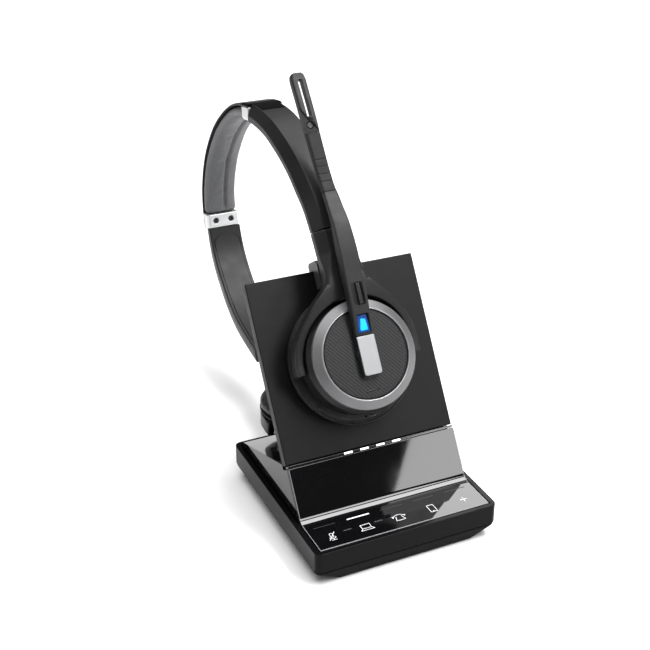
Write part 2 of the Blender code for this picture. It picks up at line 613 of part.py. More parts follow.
def make_boom():
    """Boom on its hub, with the trim bar, status window, mute button, sleeve and tip."""
    arm = boom_piece("boom_arm", BOOM_ROOT, "arm_grey")
    combine(arm, cylinder("boom_hub", BOOM_HUB_RADIUS, (0, 0, 5.0), (0, 0, 13.6), front_axis, None, 28),
            "UNION")
    box("boom_trim_bar", (8.8, 18.0, 0.8), (0, -0.9, 14.9), front_axis, "bright_steel", 0.2)
    window = [(-3.0, 9.8), (2.9, 9.8), (2.6, 17.6), (-1.9, 17.6)]
    room = [(-3.4, 9.4), (3.3, 9.4), (3.0, 18.0), (-2.3, 18.0)]
    combine(arm, slab("window_pocket", [room[::-1]], 14.6, 20.0, front_axis, None))
    slab("status_window", [window[::-1]], 14.9, 15.6, front_axis, "light_blue")
    combine(arm, box("mute_pocket", (3.0, 10.4, 4.0), (0.6, 27.3, 18.4), front_axis, None))
    box("mute_button", (2.4, 9.8, 1.5), (0.6, 27.3, 17.75), front_axis, "arm_grey", 0.3)
    boom_piece("boom_sleeve", BOOM_SLEEVE, "rubber")
    tip = boom_piece("boom_tip", BOOM_TIP, "satin_black")
    combine(tip, slab("tip_slot", [rounded_outline(-0.9, 1.5, 112.6, 131.0, 0.7, 3)], 0.0, 14.0,
                      front_axis, None))
    combine(tip, cylinder("capsule_bore", 1.7, (-0.4, 108.6, 12.0), (-0.4, 108.6, 6.8), front_axis, None, 16))
    cylinder("microphone", 1.4, (-0.4, 108.6, 9.2), (-0.4, 108.6, 7.1), front_axis, "bright_steel", 16)


rim_piece = make_tray()
housing_piece = make_housing()
make_sockets(rim_piece, housing_piece)
make_plate()
front_yoke = make_yoke("front_yoke", front_axis)
rear_yoke = make_yoke("rear_yoke", rear_axis)
front_arm, rear_arm = make_headband()
make_strip("front", front_axis, 0.0, FRONT_STRIP_REACH, front_yoke, front_arm)
make_strip("rear", rear_axis, REAR_EXTENSION, REAR_STRIP_REACH, rear_yoke, rear_arm)
make_front_cup(front_yoke)
make_rear_cup(rear_yoke)
make_boom()
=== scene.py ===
"""Looks of a wireless office headset parked on its charging base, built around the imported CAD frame."""
import sys
import logging
import math
from dataclasses import dataclass, field
from enum import Enum
from typing import Callable, Optional, Sequence

import bmesh
import bpy
from mathutils import Matrix, Vector


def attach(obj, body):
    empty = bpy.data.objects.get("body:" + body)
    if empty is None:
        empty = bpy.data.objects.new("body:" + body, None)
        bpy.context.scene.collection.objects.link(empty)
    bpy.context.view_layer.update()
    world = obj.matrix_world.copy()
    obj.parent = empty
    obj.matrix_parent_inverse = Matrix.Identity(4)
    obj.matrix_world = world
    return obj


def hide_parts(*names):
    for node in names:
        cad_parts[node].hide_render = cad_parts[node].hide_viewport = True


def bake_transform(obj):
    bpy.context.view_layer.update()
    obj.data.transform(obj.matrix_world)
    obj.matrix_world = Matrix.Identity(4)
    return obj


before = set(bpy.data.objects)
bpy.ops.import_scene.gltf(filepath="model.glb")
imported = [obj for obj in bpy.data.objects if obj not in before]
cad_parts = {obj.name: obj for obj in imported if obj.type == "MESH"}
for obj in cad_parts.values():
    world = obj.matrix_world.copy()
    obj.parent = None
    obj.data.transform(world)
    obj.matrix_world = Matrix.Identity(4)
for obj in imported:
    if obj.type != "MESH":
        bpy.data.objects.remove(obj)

log = logging.getLogger("office_headset")
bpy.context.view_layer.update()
Point = tuple[float, float, float]
Flat = tuple[float, float]

# Places of the main frames, in millimetres from the tray's front edge.
CENTRE_Y = 117.71
PLATE_LEAN = math.radians(32.27)
PLATE_FOOT = (39.18, 39.98)
HEADSET_X = -2.4
FRONT_CUP = (42.0, 12.5)
REAR_CUP = (19.0, -47.1)
REAR_YOKE_TURN = math.radians(54.2)
REAR_CUP_TILT = math.radians(11.8)


def smoothstep(x: float) -> float:
    """0 to 1 with level ends."""
    x = min(max(x, 0.0), 1.0)
    return x * x * (3 - 2 * x)


def millimetres(matrix: Matrix) -> Matrix:
    """The matrix, taking millimetres in and giving metres out."""
    return matrix @ Matrix.Scale(0.001, 4)


def shift(x: float, y: float, z: float) -> Matrix:
    """A move given in millimetres."""
    return Matrix.Translation(Vector((x, y, z)) * 0.001)


def turn_x(angle: float) -> Matrix:
    """A turn about X."""
    return Matrix.Rotation(angle, 4, "X")


BASE = shift(0, -CENTRE_Y, 0)
PLATE = BASE @ shift(0, *PLATE_FOOT) @ turn_x(-PLATE_LEAN)
FRONT = PLATE @ shift(HEADSET_X, -FRONT_CUP[1], FRONT_CUP[0]) @ turn_x(math.pi / 2)
REAR = PLATE @ shift(HEADSET_X, -REAR_CUP[1], REAR_CUP[0]) @ Matrix(
    ((-1, 0, 0, 0),
     (0, math.sin(REAR_YOKE_TURN), math.cos(REAR_YOKE_TURN), 0),
     (0, math.cos(REAR_YOKE_TURN), -math.sin(REAR_YOKE_TURN), 0),
     (0, 0, 0, 1)))
REAR_TILTED = REAR @ turn_x(REAR_CUP_TILT)


# ---- Finishes ----
class Surface(Enum):
    """How a finish is made up."""

    MOULDED = "moulded"
    BRUSHED = "brushed"
    LEATHER = "leather"
    CLOTH = "cloth"
    LIT = "lit"


@dataclass(frozen=True)
class Finish:
    """One finish, and the node tree that makes it.

    Attributes:
        name: The material's name.
        slot: The record's material slot; not used.
        colour: Linear base colour.
        roughness: Middle roughness.
        surface: How it is made up.
        metallic: 1 for bare metal.
        grain: Size of the fine texture, in millimetres.
        relief: Height of the fine texture, in millimetres.
        uneven: How far the roughness wanders.
        glow: Strength of the light it gives.
        lean: Turn about X of the brushing, in radians.
        shine: Strength of its reflections, 0.5 for a plain plastic.
    """

    name: str
    slot: str
    colour: Point
    roughness: float
    surface: Surface = Surface.MOULDED
    metallic: float = 0.0
    grain: float = 0.35
    relief: float = 0.01
    uneven: float = 0.05
    glow: float = 0.0
    lean: float = 0.0
    shine: float = 0.5

    def material(self) -> bpy.types.Material:
        """The finish's material, made once."""
        if self.name in bpy.data.materials:
            return bpy.data.materials[self.name]
        made = bpy.data.materials.new(self.name)
        made.use_nodes = True
        tree = made.node_tree
        shader = tree.nodes["Principled BSDF"]
        shader.inputs["Base Color"].default_value = (*self.colour, 1.0)
        shader.inputs["Metallic"].default_value = self.metallic
        shader.inputs["Specular IOR Level"].default_value = self.shine
        place = tree.nodes.new("ShaderNodeTexCoord").outputs["Object"]
        self._wandering_roughness(tree, shader, place)
        self._mottled_colour(tree, shader, place)
        if self.surface in (Surface.MOULDED, Surface.LIT):
            self._bump(tree, shader, self._noise(tree, place, 1000 / self.grain, 3.0))
        elif self.surface is Surface.BRUSHED:
            self._brushing(tree, shader, place)
        elif self.surface is Surface.LEATHER:
            self._pebbles(tree, shader, place)
        elif self.surface is Surface.CLOTH:
            self._weave(tree, shader, place)
        if self.surface is Surface.LIT:
            shader.inputs["Emission Color"].default_value = (*self.colour, 1.0)
            shader.inputs["Emission Strength"].default_value = self.glow
        return made

    def _noise(self, tree: bpy.types.NodeTree, place: bpy.types.NodeSocket, scale: float,
               detail: float) -> bpy.types.NodeSocket:
        """A noise texture's height at a scale."""
        noise = tree.nodes.new("ShaderNodeTexNoise")
        noise.inputs["Scale"].default_value = scale
        noise.inputs["Detail"].default_value = detail
        tree.links.new(place, noise.inputs["Vector"])
        return noise.outputs["Fac"]

    def _span(self, tree: bpy.types.NodeTree, value: bpy.types.NodeSocket, low: float, high: float,
              source: Flat = (0.3, 0.7)) -> bpy.types.NodeSocket:
        """A value moved from one range to another."""
        span = tree.nodes.new("ShaderNodeMapRange")
        for name, number in (("From Min", source[0]), ("From Max", source[1]), ("To Min", low),
                             ("To Max", high)):
            span.inputs[name].default_value = number
        tree.links.new(value, span.inputs["Value"])
        return span.outputs["Result"]

    def _wandering_roughness(self, tree: bpy.types.NodeTree, shader: bpy.types.Node,
                             place: bpy.types.NodeSocket) -> None:
        """Roughness that changes a little over the piece."""
        cloud = self._noise(tree, place, 130.0, 4.0)
        low, high = max(0.02, self.roughness - self.uneven), min(1.0, self.roughness + self.uneven)
        tree.links.new(self._span(tree, cloud, low, high), shader.inputs["Roughness"])

    def _mottled_colour(self, tree: bpy.types.NodeTree, shader: bpy.types.Node,
                        place: bpy.types.NodeSocket) -> None:
        """A slight change of tone over the piece."""
        cloud = self._noise(tree, place, 900.0, 2.0)
        spread = 0.02 if self.metallic else 0.12
        mix = tree.nodes.new("ShaderNodeMix")
        mix.data_type = "RGBA"
        mix.inputs["A"].default_value = (*(c * (1 - spread) for c in self.colour), 1.0)
        mix.inputs["B"].default_value = (*(min(1.0, c * (1 + spread)) for c in self.colour), 1.0)
        tree.links.new(self._span(tree, cloud, 0.0, 1.0), mix.inputs["Factor"])
        tree.links.new(mix.outputs["Result"], shader.inputs["Base Color"])

    def _bump(self, tree: bpy.types.NodeTree, shader: bpy.types.Node, height: bpy.types.NodeSocket,
              strength: float = 0.6) -> None:
        """Relief from a height, on a finish that has any."""
        if self.relief <= 0:
            return
        bump = tree.nodes.new("ShaderNodeBump")
        bump.inputs["Strength"].default_value = strength
        bump.inputs["Distance"].default_value = self.relief / 1000
        tree.links.new(height, bump.inputs["Height"])
        tree.links.new(bump.outputs["Normal"], shader.inputs["Normal"])

    def _brushing(self, tree: bpy.types.NodeTree, shader: bpy.types.Node,
                  place: bpy.types.NodeSocket) -> None:
        """Fine scratches across the piece."""
        mapping = tree.nodes.new("ShaderNodeMapping")
        mapping.inputs["Rotation"].default_value = (self.lean, 0.0, 0.0)
        mapping.inputs["Scale"].default_value = (0.03, 1.0, 1.0)
        tree.links.new(place, mapping.inputs["Vector"])
        streaks = self._noise(tree, mapping.outputs["Vector"], 1000 / self.grain, 2.0)
        self._bump(tree, shader, streaks, 0.5)
        tree.links.new(self._span(tree, streaks, self.roughness - self.uneven, self.roughness + self.uneven),
                       shader.inputs["Roughness"])

    def _pebbles(self, tree: bpy.types.NodeTree, shader: bpy.types.Node,
                 place: bpy.types.NodeSocket) -> None:
        """Leather grain with soft creases."""
        cells = tree.nodes.new("ShaderNodeTexVoronoi")
        cells.feature = "DISTANCE_TO_EDGE"
        cells.inputs["Scale"].default_value = 1000 / self.grain
        tree.links.new(place, cells.inputs["Vector"])
        grain = self._span(tree, cells.outputs["Distance"], 0.0, 1.0, (0.0, 0.25))
        creases = self._noise(tree, place, 260.0, 3.0)
        total = tree.nodes.new("ShaderNodeMath")
        total.operation = "MULTIPLY_ADD"
        tree.links.new(creases, total.inputs[0])
        total.inputs[1].default_value = 2.5
        tree.links.new(grain, total.inputs[2])
        self._bump(tree, shader, total.outputs["Value"])

    def _weave(self, tree: bpy.types.NodeTree, shader: bpy.types.Node,
               place: bpy.types.NodeSocket) -> None:
        """Threads that cross."""
        heights = []
        for direction in ("X", "Y"):
            wave = tree.nodes.new("ShaderNodeTexWave")
            wave.bands_direction = direction
            wave.inputs["Scale"].default_value = 160 / self.grain
            tree.links.new(place, wave.inputs["Vector"])
            heights.append(wave.outputs["Fac"])
        total = tree.nodes.new("ShaderNodeMath")
        total.operation = "MAXIMUM"
        tree.links.new(heights[0], total.inputs[0])
        tree.links.new(heights[1], total.inputs[1])
        self._bump(tree, shader, total.outputs["Value"])


class Finishes:
    """Every finish on the object."""

    GLOSS = Finish("gloss_black_moulding", "gloss_black", (0.004, 0.004, 0.0045), 0.09, relief=0.0,
                   uneven=0.03)
    TRAY = Finish("gloss_black_rim", "gloss_black", (0.004, 0.004, 0.0045), 0.16, relief=0.0,
                  uneven=0.04, shine=0.06)
    TUB = Finish("matt_black_tub", "satin_black", (0.003, 0.003, 0.0032), 0.45, relief=0.008, shine=0.05)
    DOCK = Finish("dock_grey", "arm_grey", (0.040, 0.040, 0.042), 0.46, relief=0.010, grain=0.28)
    # Light grey on the black panel's edges: a painted highlight.
    EDGE = Finish("edge_painted_highlight", "panel_black", (0.30, 0.30, 0.31), 0.30, relief=0.0)
    PANEL = Finish("mirror_black_panel", "panel_black", (0.003, 0.003, 0.0034), 0.035, relief=0.0,
                   uneven=0.012)
    SATIN = Finish("satin_black_moulding", "satin_black", (0.006, 0.006, 0.0063), 0.36, relief=0.008,
                   shine=0.24)
    SOFT = Finish("soft_touch_black", "soft_black", (0.0040, 0.0040, 0.0043), 0.44, relief=0.010,
                  grain=0.30, shine=0.20)
    DISC = Finish("disc_black", "satin_black", (0.007, 0.007, 0.0074), 0.36, relief=0.004, grain=0.25,
                  shine=0.30)
    # Ridges a little lighter than the disc's black: real ridges with a painted sheen on top.
    RIDGE = Finish("disc_ridge_painted_sheen", "satin_black", (0.015, 0.015, 0.0155), 0.40, relief=0.0, shine=0.36)
    ARM = Finish("dark_grey_moulding", "arm_grey", (0.009, 0.009, 0.0095), 0.46, relief=0.010, grain=0.28,
                 shine=0.30)
    BOOM = Finish("boom_grain", "arm_grey", (0.013, 0.013, 0.0135), 0.52, relief=0.020, grain=0.42,
                  shine=0.30)
    PAD = Finish("ear_pad_leatherette", "leatherette_black", (0.007, 0.007, 0.007), 0.48,
                 Surface.LEATHER, relief=0.05, grain=0.9, shine=0.30)
    BAND_PAD = Finish("band_leatherette", "pad_grey", (0.090, 0.091, 0.096), 0.52, Surface.LEATHER,
                      relief=0.02, grain=0.6)
    COVER = Finish("band_cover_grain", "satin_black", (0.030, 0.030, 0.032), 0.50, relief=0.012,
                   grain=0.4, shine=0.30)
    CLOTH = Finish("driver_cloth", "speaker_cloth", (0.012, 0.012, 0.012), 0.85, Surface.CLOTH,
                   relief=0.05, grain=0.5)
    RING = Finish("satin_silver_coat", "silver_ring", (0.14, 0.14, 0.144), 0.40, metallic=0.45,
                  relief=0.004, grain=0.2)
    # Brighter copy of the ring's silver for its inner rim: partly a real edge, partly a painted highlight.
    RIM = Finish("rim_painted_highlight", "silver_ring", (0.35, 0.35, 0.36), 0.35, metallic=0.9, relief=0.0)
    BAR = Finish("brushed_bar", "silver_bar", (0.31, 0.315, 0.32), 0.36, Surface.BRUSHED, 0.9,
                 grain=0.12, relief=0.01, uneven=0.05, lean=-PLATE_LEAN)
    STEEL = Finish("bright_brushed_steel", "bright_steel", (0.66, 0.665, 0.67), 0.38, Surface.BRUSHED,
                   0.72, grain=0.12, relief=0.004, uneven=0.03)
    DARK_STEEL = Finish("blackened_steel", "dark_steel", (0.045, 0.045, 0.048), 0.38, metallic=0.8)
    GOLD = Finish("gold_contact", "gold_contact", (0.83, 0.60, 0.24), 0.22, Surface.BRUSHED, 1.0,
                  grain=0.1, relief=0.003, uneven=0.04)
    RUBBER = Finish("black_rubber", "rubber", (0.009, 0.009, 0.009), 0.66, relief=0.02, grain=0.25,
                    shine=0.30)
    BOARD = Finish("green_laminate", "board_green", (0.010, 0.085, 0.030), 0.42, relief=0.01)
    CELL = Finish("cell_wrap", "cell_grey", (0.30, 0.32, 0.35), 0.40, relief=0.01)
    SMOKED = Finish("smoked_bar", "light_bar_smoked", (0.004, 0.004, 0.004), 0.08, relief=0.0,
                    uneven=0.02)
    LAMP = Finish("white_lamp", "light_bar_smoked", (0.93, 0.96, 1.0), 0.30, Surface.LIT, glow=2.2,
                  relief=0.0)
    MARK = Finish("white_mark", "panel_black", (0.75, 0.76, 0.78), 0.45, Surface.LIT, glow=0.55,
                  relief=0.0)
    MARK_DIM = Finish("grey_mark", "panel_black", (0.018, 0.018, 0.019), 0.40, relief=0.0)
    BLUE = Finish("blue_window", "window_blue", (0.002, 0.035, 0.17), 0.16, Surface.LIT, glow=0.6,
                  relief=0.0)
    BLUE_HEART = Finish("blue_lamp", "window_blue", (0.0, 0.30, 1.0), 0.20, Surface.LIT, glow=1.0,
                        relief=0.0)


# ---- Making pieces ----
def mesh_piece(name: str, mesh: bpy.types.Mesh) -> bpy.types.Object:
    """A mesh as an object at the origin."""
    piece = bpy.data.objects.new(name, mesh)
    bpy.context.scene.collection.objects.link(piece)
    return piece


def solid_mesh(name: str, points: Sequence[Point], faces: Sequence[Sequence[int]],
               place: Matrix) -> bpy.types.Mesh:
    """A closed mesh in millimetres, put in its place with faces outwards.

    Args:
        name: The mesh's name.
        points: Corner points, in millimetres in the frame of place.
        faces: Corner numbers of each face.
        place: Frame that the points are in.

    Returns:
        The mesh, in metres in the row frame.
    """
    mesh = bpy.data.meshes.new(name)
    mesh.from_pydata([Vector(point) for point in points], [], [list(face) for face in faces])
    mesh.transform(millimetres(place))
    solid = bmesh.new()
    solid.from_mesh(mesh)
    bmesh.ops.remove_doubles(solid, verts=solid.verts, dist=1e-7)
    bmesh.ops.recalc_face_normals(solid, faces=solid.faces)
    solid.to_mesh(mesh)
    solid.free()
    return mesh


def apply_modifiers(piece: bpy.types.Object) -> bpy.types.Object:
    """Replace a piece's mesh by what its modifiers make, and drop them."""
    graph = bpy.context.evaluated_depsgraph_get()
    mesh = bpy.data.meshes.new_from_object(piece.evaluated_get(graph))
    piece.modifiers.clear()
    piece.data = mesh
    return piece


def smooth(piece: bpy.types.Object, angle: float = 32.0) -> bpy.types.Object:
    """Smooth shading that keeps flat faces flat, and edges sharper than an angle in degrees."""
    piece.data.shade_smooth()
    piece.data.set_sharp_from_angle(angle=math.radians(angle))
    normals = piece.modifiers.new("normals", "WEIGHTED_NORMAL")
    normals.keep_sharp = True
    return apply_modifiers(piece)


def soften_edges(piece: bpy.types.Object, width: float, segments: int = 3,
                 angle: float = 35.0) -> bpy.types.Object:
    """Round a piece's sharp edges by a width in millimetres."""
    edges = piece.modifiers.new("edges", "BEVEL")
    edges.width, edges.segments = width / 1000, segments
    edges.limit_method, edges.angle_limit = "ANGLE", math.radians(angle)
    edges.use_clamp_overlap = True
    edges.miter_outer = "MITER_ARC"
    return smooth(apply_modifiers(piece))


def cut(piece: bpy.types.Object, *cutters: bpy.types.Object, join: bool = False) -> bpy.types.Object:
    """Cut a piece with cutters, which are then thrown away, or join them to it."""
    for cutter in cutters:
        boolean = piece.modifiers.new("cut", "BOOLEAN")
        boolean.operation = "UNION" if join else "DIFFERENCE"
        boolean.solver = "EXACT"
        boolean.object = cutter
    apply_modifiers(piece)
    for cutter in cutters:
        bpy.data.objects.remove(cutter, do_unlink=True)
    return piece


def block(name: str, size: Point, centre: Point, place: Matrix) -> bpy.types.Object:
    """A rectangular block in a frame, in millimetres."""
    corners = [tuple(c + s * k / 2 for c, s, k in zip(centre, size, signs))
               for signs in ((-1, -1, -1), (1, -1, -1), (1, 1, -1), (-1, 1, -1),
                             (-1, -1, 1), (1, -1, 1), (1, 1, 1), (-1, 1, 1))]
    faces = [(0, 1, 2, 3), (4, 5, 6, 7), (0, 1, 5, 4), (1, 2, 6, 5), (2, 3, 7, 6), (3, 0, 4, 7)]
    return mesh_piece(name, solid_mesh(name, corners, faces, place))


def filleted(outline: Sequence[Flat], radii: Sequence[float], segments: int = 5) -> list[Flat]:
    """A closed outline with each corner rounded by its own radius."""
    rounded: list[Flat] = []
    count = len(outline)
    for i, (corner, radius) in enumerate(zip(outline, radii)):
        here = Vector(corner)
        before, after = Vector(outline[i - 1]) - here, Vector(outline[(i + 1) % count]) - here
        if radius <= 0 or before.length < 1e-6 or after.length < 1e-6:
            rounded.append(tuple(here))
            continue
        half = before.angle(after) / 2
        reach = min(radius / max(math.tan(half), 1e-3), before.length * 0.48, after.length * 0.48)
        start, end = here + before.normalized() * reach, here + after.normalized() * reach
        for k in range(segments + 1):
            t = k / segments
            rounded.append(tuple(start * (1 - t) ** 2 + here * 2 * t * (1 - t) + end * t * t))
    return rounded


def lathe(name: str, profile: Sequence[Flat], place: Matrix, steps: int = 144) -> bpy.types.Object:
    """A closed turned piece from (radius, height) points; ends on the axis become poles."""
    closed = all(radius > 1e-6 for radius, _ in profile)
    points: list[Point] = []
    rings: list[list[int]] = []
    for radius, height in profile:
        if radius < 1e-6:
            rings.append([len(points)] * steps)
            points.append((0.0, 0.0, height))
            continue
        rings.append(list(range(len(points), len(points) + steps)))
        points += [(radius * math.cos(math.tau * k / steps), radius * math.sin(math.tau * k / steps), height)
                   for k in range(steps)]
    faces = []
    pairs = list(zip(rings, rings[1:] + rings[:1])) if closed else list(zip(rings, rings[1:]))
    for low, high in pairs:
        for k in range(steps):
            after = (k + 1) % steps
            corners = [low[k], low[after], high[after], high[k]]
            face = list(dict.fromkeys(corners))
            if len(face) > 2:
                faces.append(face)
    if not closed and profile[0][0] > 1e-6:
        faces.append(rings[0])
    if not closed and profile[-1][0] > 1e-6:
        faces.append(rings[-1])
    return smooth(mesh_piece(name, solid_mesh(name, points, faces, place)))


def skin(name: str, sections: Sequence[Sequence[Point]], place: Matrix,
         angle: float = 32.0) -> bpy.types.Object:
    """A closed piece through sections with the same number of points."""
    count = len(sections[0])
    points = [point for section in sections for point in section]
    faces: list[list[int]] = []
    for i in range(len(sections) - 1):
        for k in range(count):
            after = (k + 1) % count
            faces.append([i * count + k, i * count + after, (i + 1) * count + after, (i + 1) * count + k])
    faces.append(list(range(count)))
    faces.append([(len(sections) - 1) * count + k for k in range(count)])
    return smooth(mesh_piece(name, solid_mesh(name, points, faces, place)), angle)


def prism(name: str, outline: Sequence[Flat], low: float, high: float, place: Matrix) -> bpy.types.Object:
    """An outline in x and y, from one height to another."""
    return skin(name, [[(x, y, low) for x, y in outline], [(x, y, high) for x, y in outline]], place)


def refined(node: str, name: str, width: float, segments: int = 3) -> bpy.types.Object:
    """A copy of a CAD node with clean faces and rounded edges."""
    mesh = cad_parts[node].data.copy()
    mesh.materials.clear()
    solid = bmesh.new()
    solid.from_mesh(mesh)
    bmesh.ops.remove_doubles(solid, verts=solid.verts, dist=1e-6)
    bmesh.ops.dissolve_limit(solid, angle_limit=math.radians(1.0), verts=solid.verts, edges=solid.edges)
    solid.to_mesh(mesh)
    solid.free()
    return soften_edges(mesh_piece(name, mesh), width, segments)


def fit(piece: bpy.types.Object, body: str, finish: Finish, *nodes: str) -> bpy.types.Object:
    """Dress a piece, hand it to its body and hide the CAD nodes that it stands for."""
    piece.data.materials.clear()
    piece.data.materials.append(finish.material())
    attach(piece, body)
    if nodes:
        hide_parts(*nodes)
    log.info("%s on %s: %d faces, %s", piece.name, body, len(piece.data.polygons), finish.name)
    return piece


def flex(piece: bpy.types.Object, joined: tuple[str, str], ends: tuple[Vector, Vector], finish: Finish,
         *nodes: str) -> bpy.types.Object:
    """Dress a piece that lies between two bodies, bake its place into its mesh, and hide the CAD nodes that
    it stands for.

    Args:
        piece: The finished piece, in the row frame.
        joined: The two bodies, in order.
        ends: Where it would start to follow the second body, and where it would follow it fully; not used.
        finish: Its finish.
        nodes: The CAD nodes that it stands for.

    Returns:
        The piece.
    """
    piece.data.materials.clear()
    piece.data.materials.append(finish.material())
    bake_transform(piece)
    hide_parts(*nodes)
    log.info("%s bends from %s to %s: %s", piece.name, *joined, finish.name)
    return piece


def dress(finish: Finish, *nodes: str) -> None:
    """Give CAD nodes that stay a finish."""
    for node in nodes:
        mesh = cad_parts[node].data
        mesh.materials.clear()
        mesh.materials.append(finish.material())
        log.info("%s kept: %s", node, finish.name)


def inflate(piece: bpy.types.Object, voxel: float, cap: float, pressure: float = 4.0) -> bpy.types.Object:
    """Fill a padded piece: even mesh, cloth under pressure, then one subdivision.

    Args:
        piece: Closed mesh, a little smaller than the filled pad.
        voxel: Mesh size, in millimetres.
        cap: Furthest that a point may move, in millimetres.
        pressure: Pressure inside.

    Returns:
        The same piece, with its filled mesh.
    """
    even = piece.modifiers.new("even", "REMESH")
    even.mode, even.voxel_size = "VOXEL", voxel / 1000
    apply_modifiers(piece)
    before = [vertex.co.copy() for vertex in piece.data.vertices]
    cloth = piece.modifiers.new("fill", "CLOTH")
    cloth.settings.use_pressure = True
    cloth.settings.uniform_pressure_force = pressure
    cloth.settings.effector_weights.gravity = 0.0
    cloth.settings.quality = 5
    scene = bpy.context.scene
    for step in range(1, 21):
        scene.frame_set(step)
    graph = bpy.context.evaluated_depsgraph_get()
    swollen = [vertex.co.copy() for vertex in piece.evaluated_get(graph).data.vertices]
    piece.modifiers.clear()
    scene.frame_set(1)
    for vertex, start, end in zip(piece.data.vertices, before, swollen):
        move = end - start
        if move.length > cap / 1000:
            move *= cap / 1000 / move.length
        vertex.co = start + move
    finer = piece.modifiers.new("finer", "SUBSURF")
    finer.levels = finer.render_levels = 1
    apply_modifiers(piece)
    return smooth(piece, 180.0)


# ---- Node trees for what repeats or runs round ----
class GrownShape:
    """A Geometry Nodes tree with named inputs, and the means to grow a plain mesh from it."""

    def __init__(self, name: str, inputs: Sequence[tuple[str, str]]) -> None:
        """Make the tree with its inputs.

        Args:
            name: The tree's name.
            inputs: Label and socket type of each input.
        """
        self.tree = bpy.data.node_groups.new(name, "GeometryNodeTree")
        self.tree.interface.new_socket("Geometry", in_out="INPUT", socket_type="NodeSocketGeometry")
        self.sockets = {label: self.tree.interface.new_socket(label, in_out="INPUT", socket_type=kind)
                        for label, kind in inputs}
        self.tree.interface.new_socket("Geometry", in_out="OUTPUT", socket_type="NodeSocketGeometry")
        self.given = self.tree.nodes.new("NodeGroupInput")
        self.result = self.tree.nodes.new("NodeGroupOutput")

    def node(self, kind: str, **links: object) -> bpy.types.Node:
        """Add a node and set or link its inputs by name, with _ for a space."""
        made = self.tree.nodes.new(kind)
        for label, value in links.items():
            socket = made.inputs[label.replace("_", " ")]
            if isinstance(value, bpy.types.NodeSocket):
                self.tree.links.new(value, socket)
            else:
                socket.default_value = value
        return made

    def math(self, operation: str, *values: object) -> bpy.types.NodeSocket:
        """A sum on sockets or numbers."""
        made = self.tree.nodes.new("ShaderNodeMath")
        made.operation = operation
        for socket, value in zip(made.inputs, values):
            if isinstance(value, bpy.types.NodeSocket):
                self.tree.links.new(value, socket)
            else:
                socket.default_value = value
        return made.outputs[0]

    def close(self, geometry: bpy.types.NodeSocket) -> None:
        """End the tree in Realize Instances and Set Material."""
        real = self.node("GeometryNodeRealizeInstances", Geometry=geometry)
        painted = self.node("GeometryNodeSetMaterial", Geometry=real.outputs[0],
                            Material=self.given.outputs["Material"])
        self.tree.links.new(painted.outputs[0], self.result.inputs[0])

    def grow(self, name: str, place: Matrix, finish: Finish, values: dict[str, object]) -> bpy.types.Object:
        """A plain mesh piece from the tree.

        Args:
            name: The piece's name.
            place: Frame in which the tree's sizes, in millimetres, are laid out.
            finish: Finish for Set Material.
            values: Input label to value.

        Returns:
            The piece, with its place in its mesh.
        """
        piece = mesh_piece(name, bpy.data.meshes.new(name))
        grower = piece.modifiers.new("grow", "NODES")
        grower.node_group = self.tree
        for label, value in values.items():
            grower[self.sockets[label].identifier] = value
        grower[self.sockets["Material"].identifier] = finish.material()
        apply_modifiers(piece)
        piece.data.transform(millimetres(place))
        return piece


class BarRow(GrownShape):
    """Bars in a straight row, each as long as a circle's chord where Reach says so."""

    def __init__(self) -> None:
        """Build the tree."""
        super().__init__("bars_in_a_row", [("Count", "NodeSocketInt"), ("Start", "NodeSocketVector"),
                                           ("Step", "NodeSocketVector"), ("Size", "NodeSocketVector"),
                                           ("Pitch", "NodeSocketFloat"), ("Reach", "NodeSocketFloat"),
                                           ("Material", "NodeSocketMaterial")])
        given = self.given.outputs
        line = self.tree.nodes.new("GeometryNodeMeshLine")
        line.mode = "OFFSET"
        for label, source in (("Count", "Count"), ("Start Location", "Start"), ("Offset", "Step")):
            self.tree.links.new(given[source], line.inputs[label])
        bar = self.node("GeometryNodeMeshCube", Size=given["Size"])
        index = self.tree.nodes.new("GeometryNodeInputIndex").outputs[0]
        middle = self.math("MULTIPLY", self.math("SUBTRACT", given["Count"], 1.0), 0.5)
        off = self.math("MULTIPLY", self.math("SUBTRACT", index, middle), given["Pitch"])
        share = self.math("POWER", self.math("ABSOLUTE", self.math("DIVIDE", off, given["Reach"])), 2.0)
        chord = self.math("SQRT", self.math("MAXIMUM", self.math("SUBTRACT", 1.0, share), 0.0001))
        scale = self.node("ShaderNodeCombineXYZ", X=chord, Y=1.0, Z=1.0)
        bars = self.node("GeometryNodeInstanceOnPoints", Points=line.outputs[0], Instance=bar.outputs[0],
                         Scale=scale.outputs[0])
        self.close(bars.outputs[0])

    def row(self, name: str, place: Matrix, finish: Finish, count: int, start: Point, step: Point,
            size: Point, reach: float = 1e6) -> bpy.types.Object:
        """A row of bars.

        Args:
            name: The piece's name.
            place: Frame of the sizes.
            finish: Finish.
            count: How many bars.
            start: Middle of the first bar.
            step: From one bar to the next.
            size: Size of the longest bar.
            reach: Radius of the circle that the bars end on.

        Returns:
            The row as one plain mesh.
        """
        return self.grow(name, place, finish, {"Count": count, "Start": start, "Step": step, "Size": size,
                                               "Pitch": Vector(step).length, "Reach": reach})


